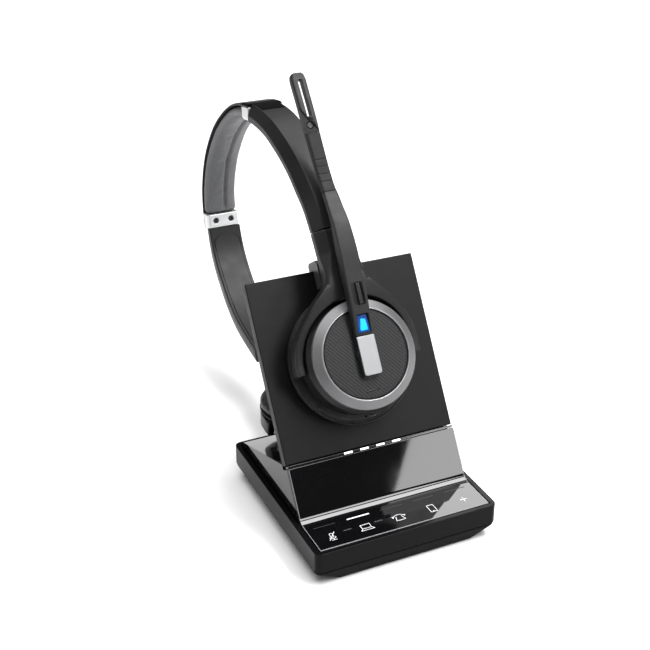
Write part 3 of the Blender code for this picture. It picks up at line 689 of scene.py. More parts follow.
class BeadRing(GrownShape):
    """A round bead that runs round a circle."""

    def __init__(self) -> None:
        """Build the tree."""
        super().__init__("bead_round_a_circle", [("Radius", "NodeSocketFloat"),
                                                 ("Thickness", "NodeSocketFloat"),
                                                 ("Material", "NodeSocketMaterial")])
        path = self.node("GeometryNodeCurvePrimitiveCircle", Resolution=160,
                         Radius=self.given.outputs["Radius"])
        section = self.node("GeometryNodeCurvePrimitiveCircle", Resolution=12,
                            Radius=self.given.outputs["Thickness"])
        bead = self.node("GeometryNodeCurveToMesh", Curve=path.outputs[0], Profile_Curve=section.outputs[0])
        self.close(bead.outputs[0])

    def ring(self, name: str, place: Matrix, finish: Finish, radius: float,
             thickness: float) -> bpy.types.Object:
        """One bead, smooth, on the circle of a radius about a frame's Z."""
        return smooth(self.grow(name, place, finish, {"Radius": radius, "Thickness": thickness}))


class DotField(GrownShape):
    """Round studs on a square grid, inside a circle."""

    def __init__(self) -> None:
        """Build the tree."""
        super().__init__("studs_in_a_circle", [("Side", "NodeSocketFloat"), ("Across", "NodeSocketInt"),
                                               ("Radius", "NodeSocketFloat"), ("Stud", "NodeSocketFloat"),
                                               ("Height", "NodeSocketFloat"),
                                               ("Material", "NodeSocketMaterial")])
        given = self.given.outputs
        grid = self.node("GeometryNodeMeshGrid", Size_X=given["Side"], Size_Y=given["Side"],
                         Vertices_X=given["Across"], Vertices_Y=given["Across"])
        position = self.tree.nodes.new("GeometryNodeInputPosition").outputs[0]
        length = self.tree.nodes.new("ShaderNodeVectorMath")
        length.operation = "LENGTH"
        self.tree.links.new(position, length.inputs[0])
        near = self.math("LESS_THAN", length.outputs["Value"], given["Radius"])
        stud = self.node("GeometryNodeMeshCylinder", Vertices=10, Radius=given["Stud"],
                         Depth=given["Height"])
        studs = self.node("GeometryNodeInstanceOnPoints", Points=grid.outputs[0], Selection=near,
                          Instance=stud.outputs[0])
        self.close(studs.outputs[0])


@dataclass
class Trees:
    """The node trees, shared by the sub-assemblies."""

    bars: BarRow = field(default_factory=BarRow)
    beads: BeadRing = field(default_factory=BeadRing)
    dots: DotField = field(default_factory=DotField)


# ---- Charging base ----
@dataclass
class TouchPanel:
    """Glossy sheet over the base's front, with its marks and lamps. Sizes in millimetres."""

    trees: Trees
    width: float = 87.4
    thickness: float = 1.3
    front: float = 1.7
    top: float = 17.75
    fascia_top: Flat = (37.1, 39.4)
    fold_radius: float = 6.0
    mark_row: float = 9.3
    bar_row: float = 18.0
    mark_pitch: float = 17.1
    stroke: float = 0.24

    def fold_line(self, offset: float, count: int = 36) -> list[Flat]:
        """The sheet's side line, set in by an offset: the fold, then the leaning fascia's top."""
        back = (math.cos(PLATE_LEAN), -math.sin(PLATE_LEAN))
        level = self.top - offset
        top = (self.fascia_top[0] + offset * back[0], self.fascia_top[1] + offset * back[1])
        radius = self.fold_radius + offset
        corner = top[0] - (top[1] - level) * math.tan(PLATE_LEAN)
        tangent = radius * math.tan((math.pi / 2 - PLATE_LEAN) / 2)
        line = []
        for k in range(count + 1):
            angle = math.radians(-90) + (math.pi / 2 - PLATE_LEAN) * k / count
            line.append((corner - tangent + radius * math.cos(angle),
                         level + radius + radius * math.sin(angle)))
        return line + [top]

    def sheet(self) -> bpy.types.Object:
        """The folded sheet."""
        outline = (self.fold_line(0.0) + self.fold_line(self.thickness)[::-1]
                   + [(self.front, self.top - self.thickness), (self.front, self.top)])
        half = self.width / 2
        sections = [[(x, y, z) for y, z in outline] for x in (-half, half)]
        return soften_edges(skin("touch_sheet", sections, BASE), 0.28, 4, 50.0)

    def strokes(self, name: str, lines: Sequence[Sequence[Flat]], x: float, y: float) -> bpy.types.Object:
        """A mark drawn with straight strokes.

        Args:
            name: The piece's name.
            lines: Lines of points about the mark's middle.
            x: Middle of the mark across the panel.
            y: Middle of the mark, from the tray's front edge.

        Returns:
            The mark, standing 0.02 mm above the panel.
        """
        points: list[Point] = []
        faces: list[list[int]] = []
        for line in lines:
            for a, b in zip(line, line[1:]):
                start, end = Vector(a), Vector(b)
                along = (end - start).normalized() * self.stroke / 2
                across = Vector((-along.y, along.x))
                corners = [start - along - across, end + along - across, end + along + across,
                           start - along + across]
                first = len(points)
                for height in (-0.05, 0.02):
                    points += [(x + c.x, y + c.y, self.top + height) for c in corners]
                faces += [[first + k for k in face] for face in
                          ((3, 2, 1, 0), (4, 5, 6, 7), (0, 1, 5, 4), (1, 2, 6, 5), (2, 3, 7, 6),
                           (3, 0, 4, 7))]
        mesh = bpy.data.meshes.new(name)
        mesh.from_pydata(points, [], faces)
        mesh.transform(millimetres(BASE))
        return mesh_piece(name, mesh)

    def marks(self) -> None:
        """Five plain marks: microphone off, laptop, desk telephone, mobile and plus."""
        def bow(cx: float, cy: float, radius: float, start: float, end: float, count: int = 9) -> list[Flat]:
            """Points along a circle between two angles."""
            return [(cx + radius * math.cos(math.radians(start + (end - start) * k / count)),
                     cy + radius * math.sin(math.radians(start + (end - start) * k / count)))
                    for k in range(count + 1)]

        capsule = [(-0.75, 0.2)] + bow(0, 1.7, 0.75, 180, 0) + [(0.75, 0.2)] + bow(0, 0.2, 0.75, 0, -180)
        drawings = {
            "microphone_off": [capsule, bow(0, 0.1, 1.6, 200, 340), [(0, -1.5), (0, -2.5)],
                               [(-1.1, -2.5), (1.1, -2.5)], [(-2.1, -2.2), (2.1, 2.9)]],
            "laptop": [[(-2.3, -0.8), (-2.3, 2.0), (2.3, 2.0), (2.3, -0.8), (-2.3, -0.8)],
                       [(-2.4, -1.0), (-3.3, -2.1), (3.3, -2.1), (2.4, -1.0)]],
            "desk_telephone": [bow(0, -1.0, 3.3, 155, 25, 12), [(-3.0, 0.4), (-3.3, 1.2), (-2.2, 1.3)],
                               [(3.0, 0.4), (3.3, 1.2), (2.2, 1.3)],
                               [(-1.4, 0.9), (-2.3, -1.9), (2.3, -1.9), (1.4, 0.9)]],
            "mobile": [[(-1.6, -2.6), (-1.6, 2.6), (1.6, 2.6), (1.6, -2.6), (-1.6, -2.6)],
                       [(-0.4, -2.0), (0.4, -2.0)]],
            "plus": [[(-1.7, 0), (1.7, 0)], [(0, -1.7), (0, 1.7)]],
        }
        for number, (name, lines) in enumerate(drawings.items()):
            x = (number - 2) * self.mark_pitch
            fit(self.strokes(f"mark_{name}", lines, x, self.mark_row), "base", Finishes.MARK)
        row = self.trees.bars.row("marks_unlit", BASE, Finishes.MARK_DIM, 5,
                                  (-2 * self.mark_pitch, self.bar_row, self.top - 0.02),
                                  (self.mark_pitch, 0, 0), (11.0, 0.5, 0.06))
        fit(row, "base", Finishes.MARK_DIM)
        fit(block("mark_lit", (11.4, 0.75, 0.10), (-self.mark_pitch, self.bar_row, self.top - 0.02), BASE),
            "base", Finishes.MARK)

    def edges(self) -> None:
        """Fine light lines just inside the sheet's front and side edges: a painted highlight where the black
        edges catch the light.
        """
        # Light grey strips on the black sheet: a painted highlight along its edges.
        over, under = -0.03, 0.10
        outline = (self.fold_line(over) + self.fold_line(under)[::-1]
                   + [(self.front + 0.3, self.top - under), (self.front + 0.3, self.top - over)])
        for sign, name in ((-1, "left"), (1, "right")):
            inner, outer = sorted((sign * (self.width / 2 - 0.52), sign * (self.width / 2 - 0.30)))
            line = skin(f"edge_line_{name}", [[(x, y, z) for y, z in outline] for x in (inner, outer)], BASE)
            fit(line, "base", Finishes.EDGE)
        fit(block("edge_line_front", (self.width - 0.7, 0.24, 0.12),
                  (0, self.front + 0.42, self.top - 0.03), BASE), "base", Finishes.EDGE)

    def build(self) -> None:
        """The sheet, dark bars for the two lines seen in its fold's reflection (a painted reflection), its
        edges and its marks.
        """
        fit(self.sheet(), "base", Finishes.PANEL, "touch_panel")
        line = self.fold_line(-0.03)
        # Dark bars laid along the fold where its reflection shows two dark lines: a painted reflection, not
        # lines in the sheet.
        for number, share in enumerate((10, 25), 1):
            y, z = line[share]
            fit(block(f"fold_line_{number}", (self.width - 0.8, 0.40, 0.40), (0, y, z - 0.12), BASE), "base",
                Finishes.TRAY)
        self.edges()
        self.marks()


@dataclass
class ChargingBase:
    """Tray, wedge, rest plate, dock and sockets. Sizes in millimetres."""

    trees: Trees
    back: float = 100.0
    foot_radius: float = 5.0
    foot_height: float = 1.6
    feet: tuple[Flat, ...] = ((-27.0, 13.0), (27.0, 13.0), (-27.0, 87.0), (27.0, 87.0))
    lamp_pitch: float = 8.43
    lamp_size: Point = (4.3, 0.5, 0.8)

    def housings(self) -> None:
        """Tray, tub and wedge."""
        fit(refined("base_tray", "tray_rim", 0.45, 4), "base", Finishes.TRAY, "base_tray")
        fit(refined("bottom_cover", "tub", 0.4), "base", Finishes.TUB, "bottom_cover")
        fit(refined("wedge_housing", "wedge_shell", 0.7, 4), "base", Finishes.GLOSS, "wedge_housing")
        dress(Finishes.DARK_STEEL, "ballast_plate", "ringer_speaker")
        dress(Finishes.BOARD, "main_board")
        for number, (x, y) in enumerate(self.feet, 1):
            r, h = self.foot_radius, self.foot_height
            profile = [(0, 0), (1.2, 0), (1.4, 0.25), (1.9, 0.25), (2.1, 0), (3.0, 0), (3.2, 0.25),
                       (3.6, 0.25), (3.8, 0), (r - 0.3, 0), (r - 0.06, 0.12), (r, 0.35), (r, h), (0, h)]
            fit(lathe(f"foot_{number}", profile, BASE @ shift(x, y, 0), 64), "base", Finishes.RUBBER,
                f"rubber_foot_{number}")

    def rest(self) -> None:
        """Leaning plate, its cover, the dock and the lamps under the plate."""
        fit(refined("rest_plate", "rest_board", 0.5, 4), "base", Finishes.SOFT, "rest_plate")
        fit(refined("plate_back_cover", "rest_back", 0.25), "base", Finishes.SATIN, "plate_back_cover")
        fit(refined("dock_block", "dock_head", 0.5, 4), "base", Finishes.DOCK, "dock_block")
        dress(Finishes.STEEL, "dock_magnet")
        dress(Finishes.GOLD, "charge_pin_left", "charge_pin_right")
        fit(refined("light_bar", "light_strip", 0.2), "base", Finishes.SMOKED, "light_bar")
        lamps = self.trees.bars.row("state_lamps", PLATE, Finishes.LAMP, 4,
                                    (-1.5 * self.lamp_pitch, -1.12, -0.85), (self.lamp_pitch, 0, 0),
                                    self.lamp_size)
        fit(soften_edges(lamps, 0.14, 2), "base", Finishes.LAMP)

    def sockets(self) -> None:
        """Power, USB and telephone sockets at the back."""
        for node, finish in (("power_socket", Finishes.SATIN), ("phone_socket", Finishes.SATIN),
                             ("usb_socket_left", Finishes.STEEL), ("usb_socket_right", Finishes.STEEL)):
            fit(refined(node, node + "_shell", 0.15, 2), "base", finish, node)
        pin = [(0, 0), (0.7, 0), (0.7, 6.0), (0.45, 6.4), (0, 6.5)]
        fit(lathe("power_pin", pin, BASE @ shift(-28, self.back - 8.7, 12.1) @ turn_x(-math.pi / 2), 32),
            "base", Finishes.STEEL)
        bars = self.trees.bars
        fit(bars.row("usb_tongues", BASE, Finishes.SATIN, 2, (-10, self.back - 3.6, 10.4), (16, 0, 0),
                     (5.4, 4.4, 0.6)), "base", Finishes.SATIN)
        fit(bars.row("phone_contacts", BASE, Finishes.GOLD, 6, (21.8, self.back - 5.2, 15.15), (1.28, 0, 0),
                     (0.4, 6.0, 0.34)), "base", Finishes.GOLD)

    def build(self) -> None:
        """Every piece of the base."""
        self.housings()
        TouchPanel(self.trees).build()
        self.rest()
        self.sockets()


# ---- Ear cups ----
@dataclass
class EarCup:
    """What both cups share: pad, driver and pins. Sizes in millimetres."""

    trees: Trees
    side: str
    place: Matrix
    driver_back: float
    pad_radius: float = 31.8
    pad_hole: float = 13.0
    pad_face: float = -12.2
    pad_back: float = -5.4
    shell_radius: float = 27.0
    shell_back: float = -5.1

    @property
    def body(self) -> str:
        """The body that the cup rides on."""
        return f"{self.side}_cup"

    def pad(self) -> None:
        """Filled leatherette ring with its seams."""
        middle = (self.pad_radius + self.pad_hole) / 2
        half = (self.pad_radius - self.pad_hole) / 2 - 0.7
        level, rise = (self.pad_face + self.pad_back) / 2, (self.pad_back - self.pad_face) / 2 - 0.35
        profile = []
        for k in range(40):
            angle = math.tau * k / 40
            c, s = math.cos(angle), math.sin(angle)
            profile.append((middle + half * math.copysign(abs(c) ** 0.72, c),
                            level + rise * math.copysign(abs(s) ** 0.62, s)))
        ring = inflate(lathe(f"{self.side}_pad", profile, self.place, 96), 1.3, 0.7)
        into = millimetres(self.place)
        back = into.inverted()
        for vertex in ring.data.vertices:
            local = back @ vertex.co
            radius, angle = math.hypot(local.x, local.y), math.atan2(local.y, local.x)
            inner = math.exp(-((radius - self.pad_hole - 1.2) / 1.6) ** 2)
            outer = math.exp(-((self.pad_radius - 1.4 - radius) / 1.8) ** 2)
            fold = 0.55 * math.sin(31 * angle + 1.7 * math.sin(5 * angle)) + 0.45 * math.sin(47 * angle + 2.0)
            height = local.z + 0.13 * fold * (1.2 * inner + outer)
            radius = min(max(radius, self.pad_hole + 0.1), self.pad_radius)
            height = min(max(height, self.pad_face), self.pad_back)
            vertex.co = into @ Vector((radius * math.cos(angle), radius * math.sin(angle), height))
        fit(ring, self.body, Finishes.PAD, f"{self.side}_ear_pad")
        seam = self.trees.beads.ring(f"{self.side}_pad_seam", self.place @ shift(0, 0, self.pad_back - 0.55),
                                     Finishes.PAD, self.pad_radius - 0.75, 0.34)
        fit(seam, self.body, Finishes.PAD)

    def driver(self) -> None:
        """Driver with a domed cloth face."""
        face, rear = self.pad_face + 3.6, self.driver_back
        profile = [(0, rear), (9, rear), (9, -2.5), (12.6, -2.5), (12.6, face + 0.9), (12.2, face + 0.4),
                   (9.0, face + 0.15), (4.0, face), (0, face)]
        fit(lathe(f"{self.side}_driver", profile, self.place, 96), self.body, Finishes.CLOTH,
            f"{self.side}_speaker")

    def shell(self, outline: Sequence[Flat], radii: Sequence[float]) -> None:
        """Cup wall from its outline."""
        fit(lathe(f"{self.side}_cup_wall", filleted(outline, radii), self.place), self.body,
            Finishes.SATIN, f"{self.side}_cup_shell")

    def pins(self) -> None:
        """Tilt pins, in the fork's ends."""
        dress(Finishes.DARK_STEEL, f"{self.side}_pivot_pin_left", f"{self.side}_pivot_pin_right")


@dataclass
class FrontCup(EarCup):
    """Cup that carries the call button, the silver ring and the boom."""

    ring_radius: float = 25.5
    button_radius: float = 20.6
    hub_hole: float = 5.5
    ridge_pitch: float = 1.35
    ridge_turn: float = math.radians(-50.0)

    def ring(self) -> None:
        """Conical silver ring with a bright inner rim: a real rounded edge, made brighter than the ring's
        silver as a painted highlight.
        """
        outline = [(21.0, 8.3), (21.0, 12.2), (21.9, 12.2), (self.ring_radius, 10.0),
                   (self.ring_radius, 8.3)]
        fit(lathe("silver_ring", filleted(outline, [0, 0.25, 0.3, 0.45, 0], 6), self.place), self.body,
            Finishes.RING, "front_cup_ring")
        # Inner rim bead, brighter than the ring: a painted highlight on a real edge.
        fit(self.trees.beads.ring("ring_rim_highlight", self.place @ shift(0, 0, 12.02), Finishes.RIM, 21.28,
                                  0.26), self.body, Finishes.RIM)

    def button(self) -> None:
        """Call button with fine slanting ridges, painted a little lighter than the disc as a sheen, and a
        small bar.
        """
        outline = [(self.hub_hole, 10.1), (self.button_radius, 10.1), (self.button_radius, 11.5),
                   (self.hub_hole, 11.5)]
        fit(lathe("call_disc", filleted(outline, [0, 0, 0.35, 0.2]), self.place), "call_button",
            Finishes.DISC, "call_button")
        count = 2 * int(19.7 / self.ridge_pitch) + 1
        first = -(count - 1) / 2 * self.ridge_pitch
        turned = self.place @ Matrix.Rotation(self.ridge_turn, 4, "Z")
        # Ridges in a lighter black than the disc: a painted sheen on the real ridges.
        ridges = self.trees.bars.row("call_disc_ridges", turned, Finishes.RIDGE, count, (0, first, 11.50),
                                     (0, self.ridge_pitch, 0), (39.4, 0.62, 0.20), 19.9)
        fit(soften_edges(ridges, 0.04, 1), "call_button", Finishes.RIDGE)
        fit(soften_edges(block("call_disc_bar", (6.8, 0.6, 0.35), (-0.4, -17.0, 11.55), self.place), 0.12, 2),
            "call_button", Finishes.GLOSS)

    def inside(self) -> None:
        """Board, cell and power switch."""
        dress(Finishes.BOARD, "headset_board")
        dress(Finishes.CELL, "battery")
        fit(refined("power_switch", "power_slider", 0.18, 2), "power_switch", Finishes.GLOSS, "power_switch")
        grip = self.trees.bars.row("power_slider_ribs", self.place, Finishes.GLOSS, 4, (-2.25, -28.42, 3.0),
                                   (0.7, 0, 0), (0.25, 0.18, 1.8))
        fit(grip, "power_switch", Finishes.GLOSS)

    def build(self) -> None:
        """Every piece of the front cup."""
        self.pad()
        self.driver()
        r, b = self.shell_radius, self.shell_back
        self.shell([(24.8, 8.0), (r, 5.4), (r, b), (13.2, b), (13.2, -3.6), (25.4, -3.6), (25.4, 4.8),
                    (23.4, 6.4), (5.5, 6.4), (5.5, 8.0)], [0.5, 0.9, 0.5, 0, 0, 0.3, 0.3, 0.3, 0, 0])
        self.ring()
        self.button()
        self.inside()
        self.pins()


@dataclass
class RearCup(EarCup):
    """Plain cup behind the plate."""

    def build(self) -> None:
        """Every piece of the rear cup."""
        self.pad()
        self.driver()
        r, b = self.shell_radius, self.shell_back
        self.shell([(22.0, 2.2), (r, 1.9), (r, b), (13.2, b), (13.2, -3.6), (25.4, -3.6), (25.4, 0.5),
                    (4.0, 0.5), (4.0, 2.2)], [0.3, 0.5, 0.5, 0, 0, 0.3, 0.3, 0, 0])
        cap = filleted([(0, 3.2), (18.0, 3.2), (20.0, 2.5), (0, 2.5)], [0, 0.5, 0.2, 0])
        fit(lathe("rear_cap", cap, self.place), self.body, Finishes.SOFT, "rear_cup_cap")
        self.pins()


# ---- Yokes ----
@dataclass
class Yoke:
    """Fork round a cup, with its stem and slide strip. Sizes in millimetres."""

    side: str
    place: Matrix
    inner: float = 27.6
    outer: float = 31.4
    half_depth: float = 3.8
    stem_half: float = 9.5
    stem_length: float = 59.9
    stem_rise: float = 7.0
    stem_lean: float = 0.09

    def rise(self, y: float) -> float:
        """How far the middle stands out at a height above the tilt axis."""
        return self.stem_rise * smoothstep(y / 34.0) - self.stem_lean * max(0.0, y - 36.0)

    def half_outline(self) -> list[Flat]:
        """The right-hand side, from the fork's end up to the seam."""
        def bow(radius: float, start: float, end: float, count: int) -> list[Flat]:
            """Points along a circle between two angles."""
            return [(radius * math.cos(math.radians(start + (end - start) * k / count)),
                     radius * math.sin(math.radians(start + (end - start) * k / count)))
                    for k in range(count + 1)]

        inner = bow(self.inner, 90, -7, 48)
        outer = bow(self.outer, -7, 38, 24)
        knots = [Vector(p) for p in (outer[-2], outer[-1], (19.4, 26.2), (14.4, 30.9), (10.9, 35.0),
                                     (self.stem_half, 40.5), (self.stem_half, 46.0))]
        neck = []
        for a, b, c, d in zip(knots, knots[1:], knots[2:], knots[3:]):
            for k in range(8):
                t = k / 8
                neck.append(tuple(0.5 * (2 * b + (c - a) * t + (2 * a - 5 * b + 4 * c - d) * t * t
                                         + (3 * b - a - 3 * c + d) * t ** 3)))
        return inner + outer[:-1] + neck + [(self.stem_half, 46.0), (self.stem_half, self.stem_length)]

    def body_mesh(self) -> bpy.types.Object:
        """Flat fork with chamfered stem, raised to its curve and rounded."""
        right = self.half_outline()
        outline = right + [(-x, y) for x, y in right[::-1][:-1]]
        piece = prism(f"{self.side}_fork", outline, -self.half_depth, self.half_depth, self.place)
        cutters = []
        for sign in (-1, 1):
            edge = self.stem_half + 0.05
            wedge = [(edge, self.half_depth - 3.5), (edge + 2, self.half_depth - 3.5),
                     (edge + 2, self.half_depth + 2), (self.stem_half - 6.3, self.half_depth + 2),
                     (self.stem_half - 4.2, self.half_depth)]
            shallow = [(x + 4.4, z) for x, z in wedge]
            cutters.append(skin(f"chamfer_{sign}", [[(sign * x, y, z) for x, z in ring] for y, ring in
                                                    ((34.0, shallow), (49.0, wedge), (62.0, wedge))],
                                self.place))
        cut(piece, *cutters)
        into = millimetres(self.place)
        back = into.inverted()
        shape = bmesh.new()
        shape.from_mesh(piece.data)
        shape.transform(back)
        y = -3.0
        while y < self.stem_length - 1:
            bmesh.ops.bisect_plane(shape, geom=shape.verts[:] + shape.edges[:] + shape.faces[:],
                                   plane_co=(0, y, 0), plane_no=(0, 1, 0), dist=1e-4)
            y += 1.6
        for vertex in shape.verts:
            vertex.co.z += self.rise(vertex.co.y)
        shape.transform(into)
        shape.to_mesh(piece.data)
        shape.free()
        skinned = piece.modifiers.new("even", "REMESH")
        skinned.mode, skinned.voxel_size, skinned.use_smooth_shade = "VOXEL", 0.00045, True
        soft = piece.modifiers.new("soft", "SMOOTH")
        soft.factor, soft.iterations = 0.5, 7
        return smooth(apply_modifiers(piece), 60.0)

    def build(self) -> None:
        """Fork and strip."""
        fit(self.body_mesh(), f"{self.side}_yoke", Finishes.ARM, f"{self.side}_yoke")
        dress(Finishes.STEEL, f"{self.side}_slide_strip")


# ---- Headband ----
@dataclass
class Headband:
    """Arms, spring cover, cushion and clamps. Sizes in millimetres."""

    line: tuple[Flat, ...] = (
        (102.3, 21.1), (114.5, 19.9), (125.5, 16.4), (137.0, 11.4), (151.0, 2.4), (164.6, -10.0),
        (176.6, -28.4), (183.8, -48.8), (185.4, -68.0), (182.0, -92.2), (170.8, -118.0),
        (152.5, -136.8), (128.0, -145.0), (103.5, -143.0), (76.5, -131.4), (52.6, -107.3))
    front_clamp: Flat = (94.0, 103.0)
    rear_clamp: Flat = (221.0, 230.0)
    cover: float = 1.2
    gap: float = 0.3
    groove_at: float = 2.0

    def __post_init__(self) -> None:
        """Lay out the outer line at even lengths."""
        knots = [Vector(p) for p in (self.line[0],) + tuple(self.line) + (self.line[-1],)]
        fine = []
        for a, b, c, d in zip(knots, knots[1:], knots[2:], knots[3:]):
            for i in range(24):
                t = i / 24
                fine.append(0.5 * (2 * b + (c - a) * t + (2 * a - 5 * b + 4 * c - d) * t * t
                                   + (3 * b - a - 3 * c + d) * t ** 3))
        fine.append(knots[-1])
        lengths = [0.0]
        for here, following in zip(fine, fine[1:]):
            lengths.append(lengths[-1] + (following - here).length)
        self.length = lengths[-1]
        self.even: list[Vector] = []
        j = 0
        for i in range(321):
            target = self.length * i / 320
            while j < len(fine) - 2 and lengths[j + 1] < target:
                j += 1
            self.even.append(fine[j].lerp(fine[j + 1], (target - lengths[j]) / (lengths[j + 1] - lengths[j])))

    def at(self, distance: float) -> tuple[Vector, Vector]:
        """Point on the outer line and the way inwards, as (up, out)."""
        place = min(max(distance / self.length, 0.0), 1.0) * (len(self.even) - 1)
        i = min(int(place), len(self.even) - 2)
        point = self.even[i].lerp(self.even[i + 1], place - i)
        low, high = max(i - 3, 0), min(i + 4, len(self.even) - 1)
        along = (self.even[high] - self.even[low]).normalized()
        return point, Vector((along.y, -along.x))

    def thickness(self, distance: float) -> float:
        """Thickness of the whole band at a length along it."""
        knots = [(0, 7.6), (25, 9.6), (60, 9.8), (90, 8.8), (135, 7.4), (180, 8.0), (222, 9.6),
                 (270, 10.2), (300, 9.8), (self.length, 8.8)]
        for (a, low), (b, high) in zip(knots, knots[1:]):
            if distance <= b:
                return low + (high - low) * (distance - a) / (b - a)
        return knots[-1][1]

    def spot(self, distance: float, across: float, depth: float) -> Point:
        """A place on the band, in the plate's frame."""
        point, inward = self.at(distance)
        up, out = point + inward * depth
        return (HEADSET_X + across, -out, up)

    def along(self, name: str, start: float, end: float, section: Callable[[float], list[Flat]],
              step: float = 2.0) -> bpy.types.Object:
        """A piece along the band.

        Args:
            name: The piece's name.
            start: Length at which it starts.
            end: Length at which it ends.
            section: Gives (across, depth) points at a length.
            step: Between sections.

        Returns:
            The closed piece.
        """
        count = max(2, round((end - start) / step) + 1)
        sections = []
        for i in range(count):
            distance = start + (end - start) * i / (count - 1)
            sections.append([self.spot(distance, x, d) for x, d in section(distance)])
        return skin(name, sections, PLATE, 24.0)

    def arm_section(self, distance: float) -> list[Flat]:
        """Chamfered arm: narrow outer face, broad inner face."""
        thick = self.thickness(distance)
        face = 5.2 + 1.8 * smoothstep((distance - 10) / 70) + 1.2 * smoothstep((distance - 200) / 60)
        return filleted([(-face, 0), (face, 0), (9.5, thick - 3.4), (9.5, thick), (-9.5, thick),
                         (-9.5, thick - 3.4)], [0.9, 0.9, 1.1, 1.0, 1.0, 1.1], 5)

    def cover_section(self, distance: float) -> list[Flat]:
        """Thin spring cover."""
        return filleted([(-8.2, 0), (8.2, 0), (9.2, 0.6), (9.2, self.cover), (-9.2, self.cover),
                         (-9.2, 0.6)], [0.8, 0.8, 0.3, 0.15, 0.15, 0.3], 5)

    def pad_section(self, distance: float) -> list[Flat]:
        """Crowned cushion, drawn a little small before it is filled."""
        top, thick = self.cover + self.gap + 0.25, self.thickness(distance)
        half, middle, rise = 9.2, (top + thick - 0.5) / 2, (thick - 0.5 - top) / 2
        ring = []
        for k in range(36):
            angle = math.tau * (k + 0.5) / 36
            c, s = math.cos(angle), math.sin(angle)
            ring.append((half * math.copysign(abs(c) ** 0.55, c),
                         middle + rise * math.copysign(abs(s) ** 0.6, s)))
        return ring

    def wrap_section(self, distance: float) -> list[Flat]:
        """Thin metal that carries a clamp over the cover's outer side."""
        return filleted([(-8.3, -0.15), (8.3, -0.15), (9.4, 0.6), (9.4, 1.6), (9.1, 1.6), (9.1, 0.9),
                         (-9.1, 0.9), (-9.1, 1.6), (-9.4, 1.6), (-9.4, 0.6)],
                        [0.8, 0.8, 0.3, 0, 0, 0, 0, 0, 0, 0.3], 4)

    def cap_section(self, distance: float) -> list[Flat]:
        """Dark flat cap on the front arm's outer face."""
        return [(-6.2, -0.22), (6.2, -0.22), (6.4, 0.3), (-6.4, 0.3)]

    def cushion(self) -> None:
        """Filled cushion with a long groove and soft folds."""
        start, end = self.front_clamp[1] + 0.8, self.rear_clamp[0] - 0.8
        pad = inflate(self.along("band_cushion", start, end, self.pad_section), 1.3, 0.5)
        into = millimetres(PLATE)
        back = into.inverted()
        samples = [(start + (end - start) * i / 200, *self.at(start + (end - start) * i / 200))
                   for i in range(201)]
        for vertex in pad.data.vertices:
            local = back @ vertex.co
            across, flat = local.x - HEADSET_X, Vector((local.z, -local.y))
            distance, point, inward = min(samples, key=lambda s: (flat - s[1]).length_squared)
            depth, thick = (flat - point).dot(inward), self.thickness(distance)
            face = smoothstep((depth - (self.cover + 1.6)) / (thick - self.cover - 2.6))
            dent = 1.7 * math.exp(-((across - self.groove_at) / 0.8) ** 2)
            wave = 0.16 * math.sin(distance / 5.3 + 0.35 * across + 1.3 * math.sin(distance / 17.0))
            ends = smoothstep(min(distance - start, end - distance) / 5.0)
            wanted = depth - face * (dent * ends + max(0.0, wave))
            wanted = min(max(wanted, self.cover + self.gap), thick)
            across = min(max(across, -9.4), 9.4)
            move = inward * (wanted - depth)
            vertex.co = into @ Vector((HEADSET_X + across, local.y - move.y, local.z + move.x))
        fit(pad, "headband", Finishes.BAND_PAD, "headband_pad")

    def screws(self, side: str, span: Flat) -> None:
        """Clamp screws, each with a round socket in its head."""
        middle = sum(span) / 2
        thick = self.thickness(middle)
        point, inward = self.at(middle)
        direction = Vector((0, -inward.y, inward.x))
        for across, name in ((-4.6, "left"), (4.6, "right")):
            up, out = point + inward * (thick - 3.6)
            turn = direction.to_track_quat("Z", "Y").to_matrix().to_4x4()
            place = PLATE @ shift(HEADSET_X + across, -out, up) @ turn
            profile = filleted([(0, 0), (1.4, 0), (1.4, 2.7), (0.72, 2.7), (0.72, 2.0), (0, 2.0)],
                               [0, 0, 0.3, 0.08, 0.05, 0])
            node = f"{side}_bracket_screw_{name}"
            fit(lathe(f"{side}_clamp_screw_{name}", profile, place, 48), "headband",
                Finishes.DARK_STEEL, node)

    def inlay(self) -> None:
        """Raised lining on the rear arm's inner face, with a curved top edge."""
        start, end = self.rear_clamp[1] + 5.0, self.length - 5.0

        def layer(width: float, height: float) -> Callable[[float], list[Flat]]:
            """A low slab's section, narrowing at the ends."""
            def section(distance: float) -> list[Flat]:
                """Its points at a length."""
                open_by = min(distance - start, end - distance)
                half = width * math.sqrt(max(0.02, 1 - (1 - min(1.0, open_by / 5.0)) ** 2))
                thick = self.thickness(distance)
                return [(-half, thick - 0.3), (half, thick - 0.3), (half - 0.1, thick + height - 0.03),
                        (0, thick + height), (0.1 - half, thick + height - 0.03)]
            return section

        fit(self.along("rear_arm_lining_edge", start, end, layer(8.0, 0.08), 0.8), "headband", Finishes.TRAY)
        fit(self.along("rear_arm_lining", start, end, layer(7.5, 0.25), 0.8), "headband", Finishes.ARM)

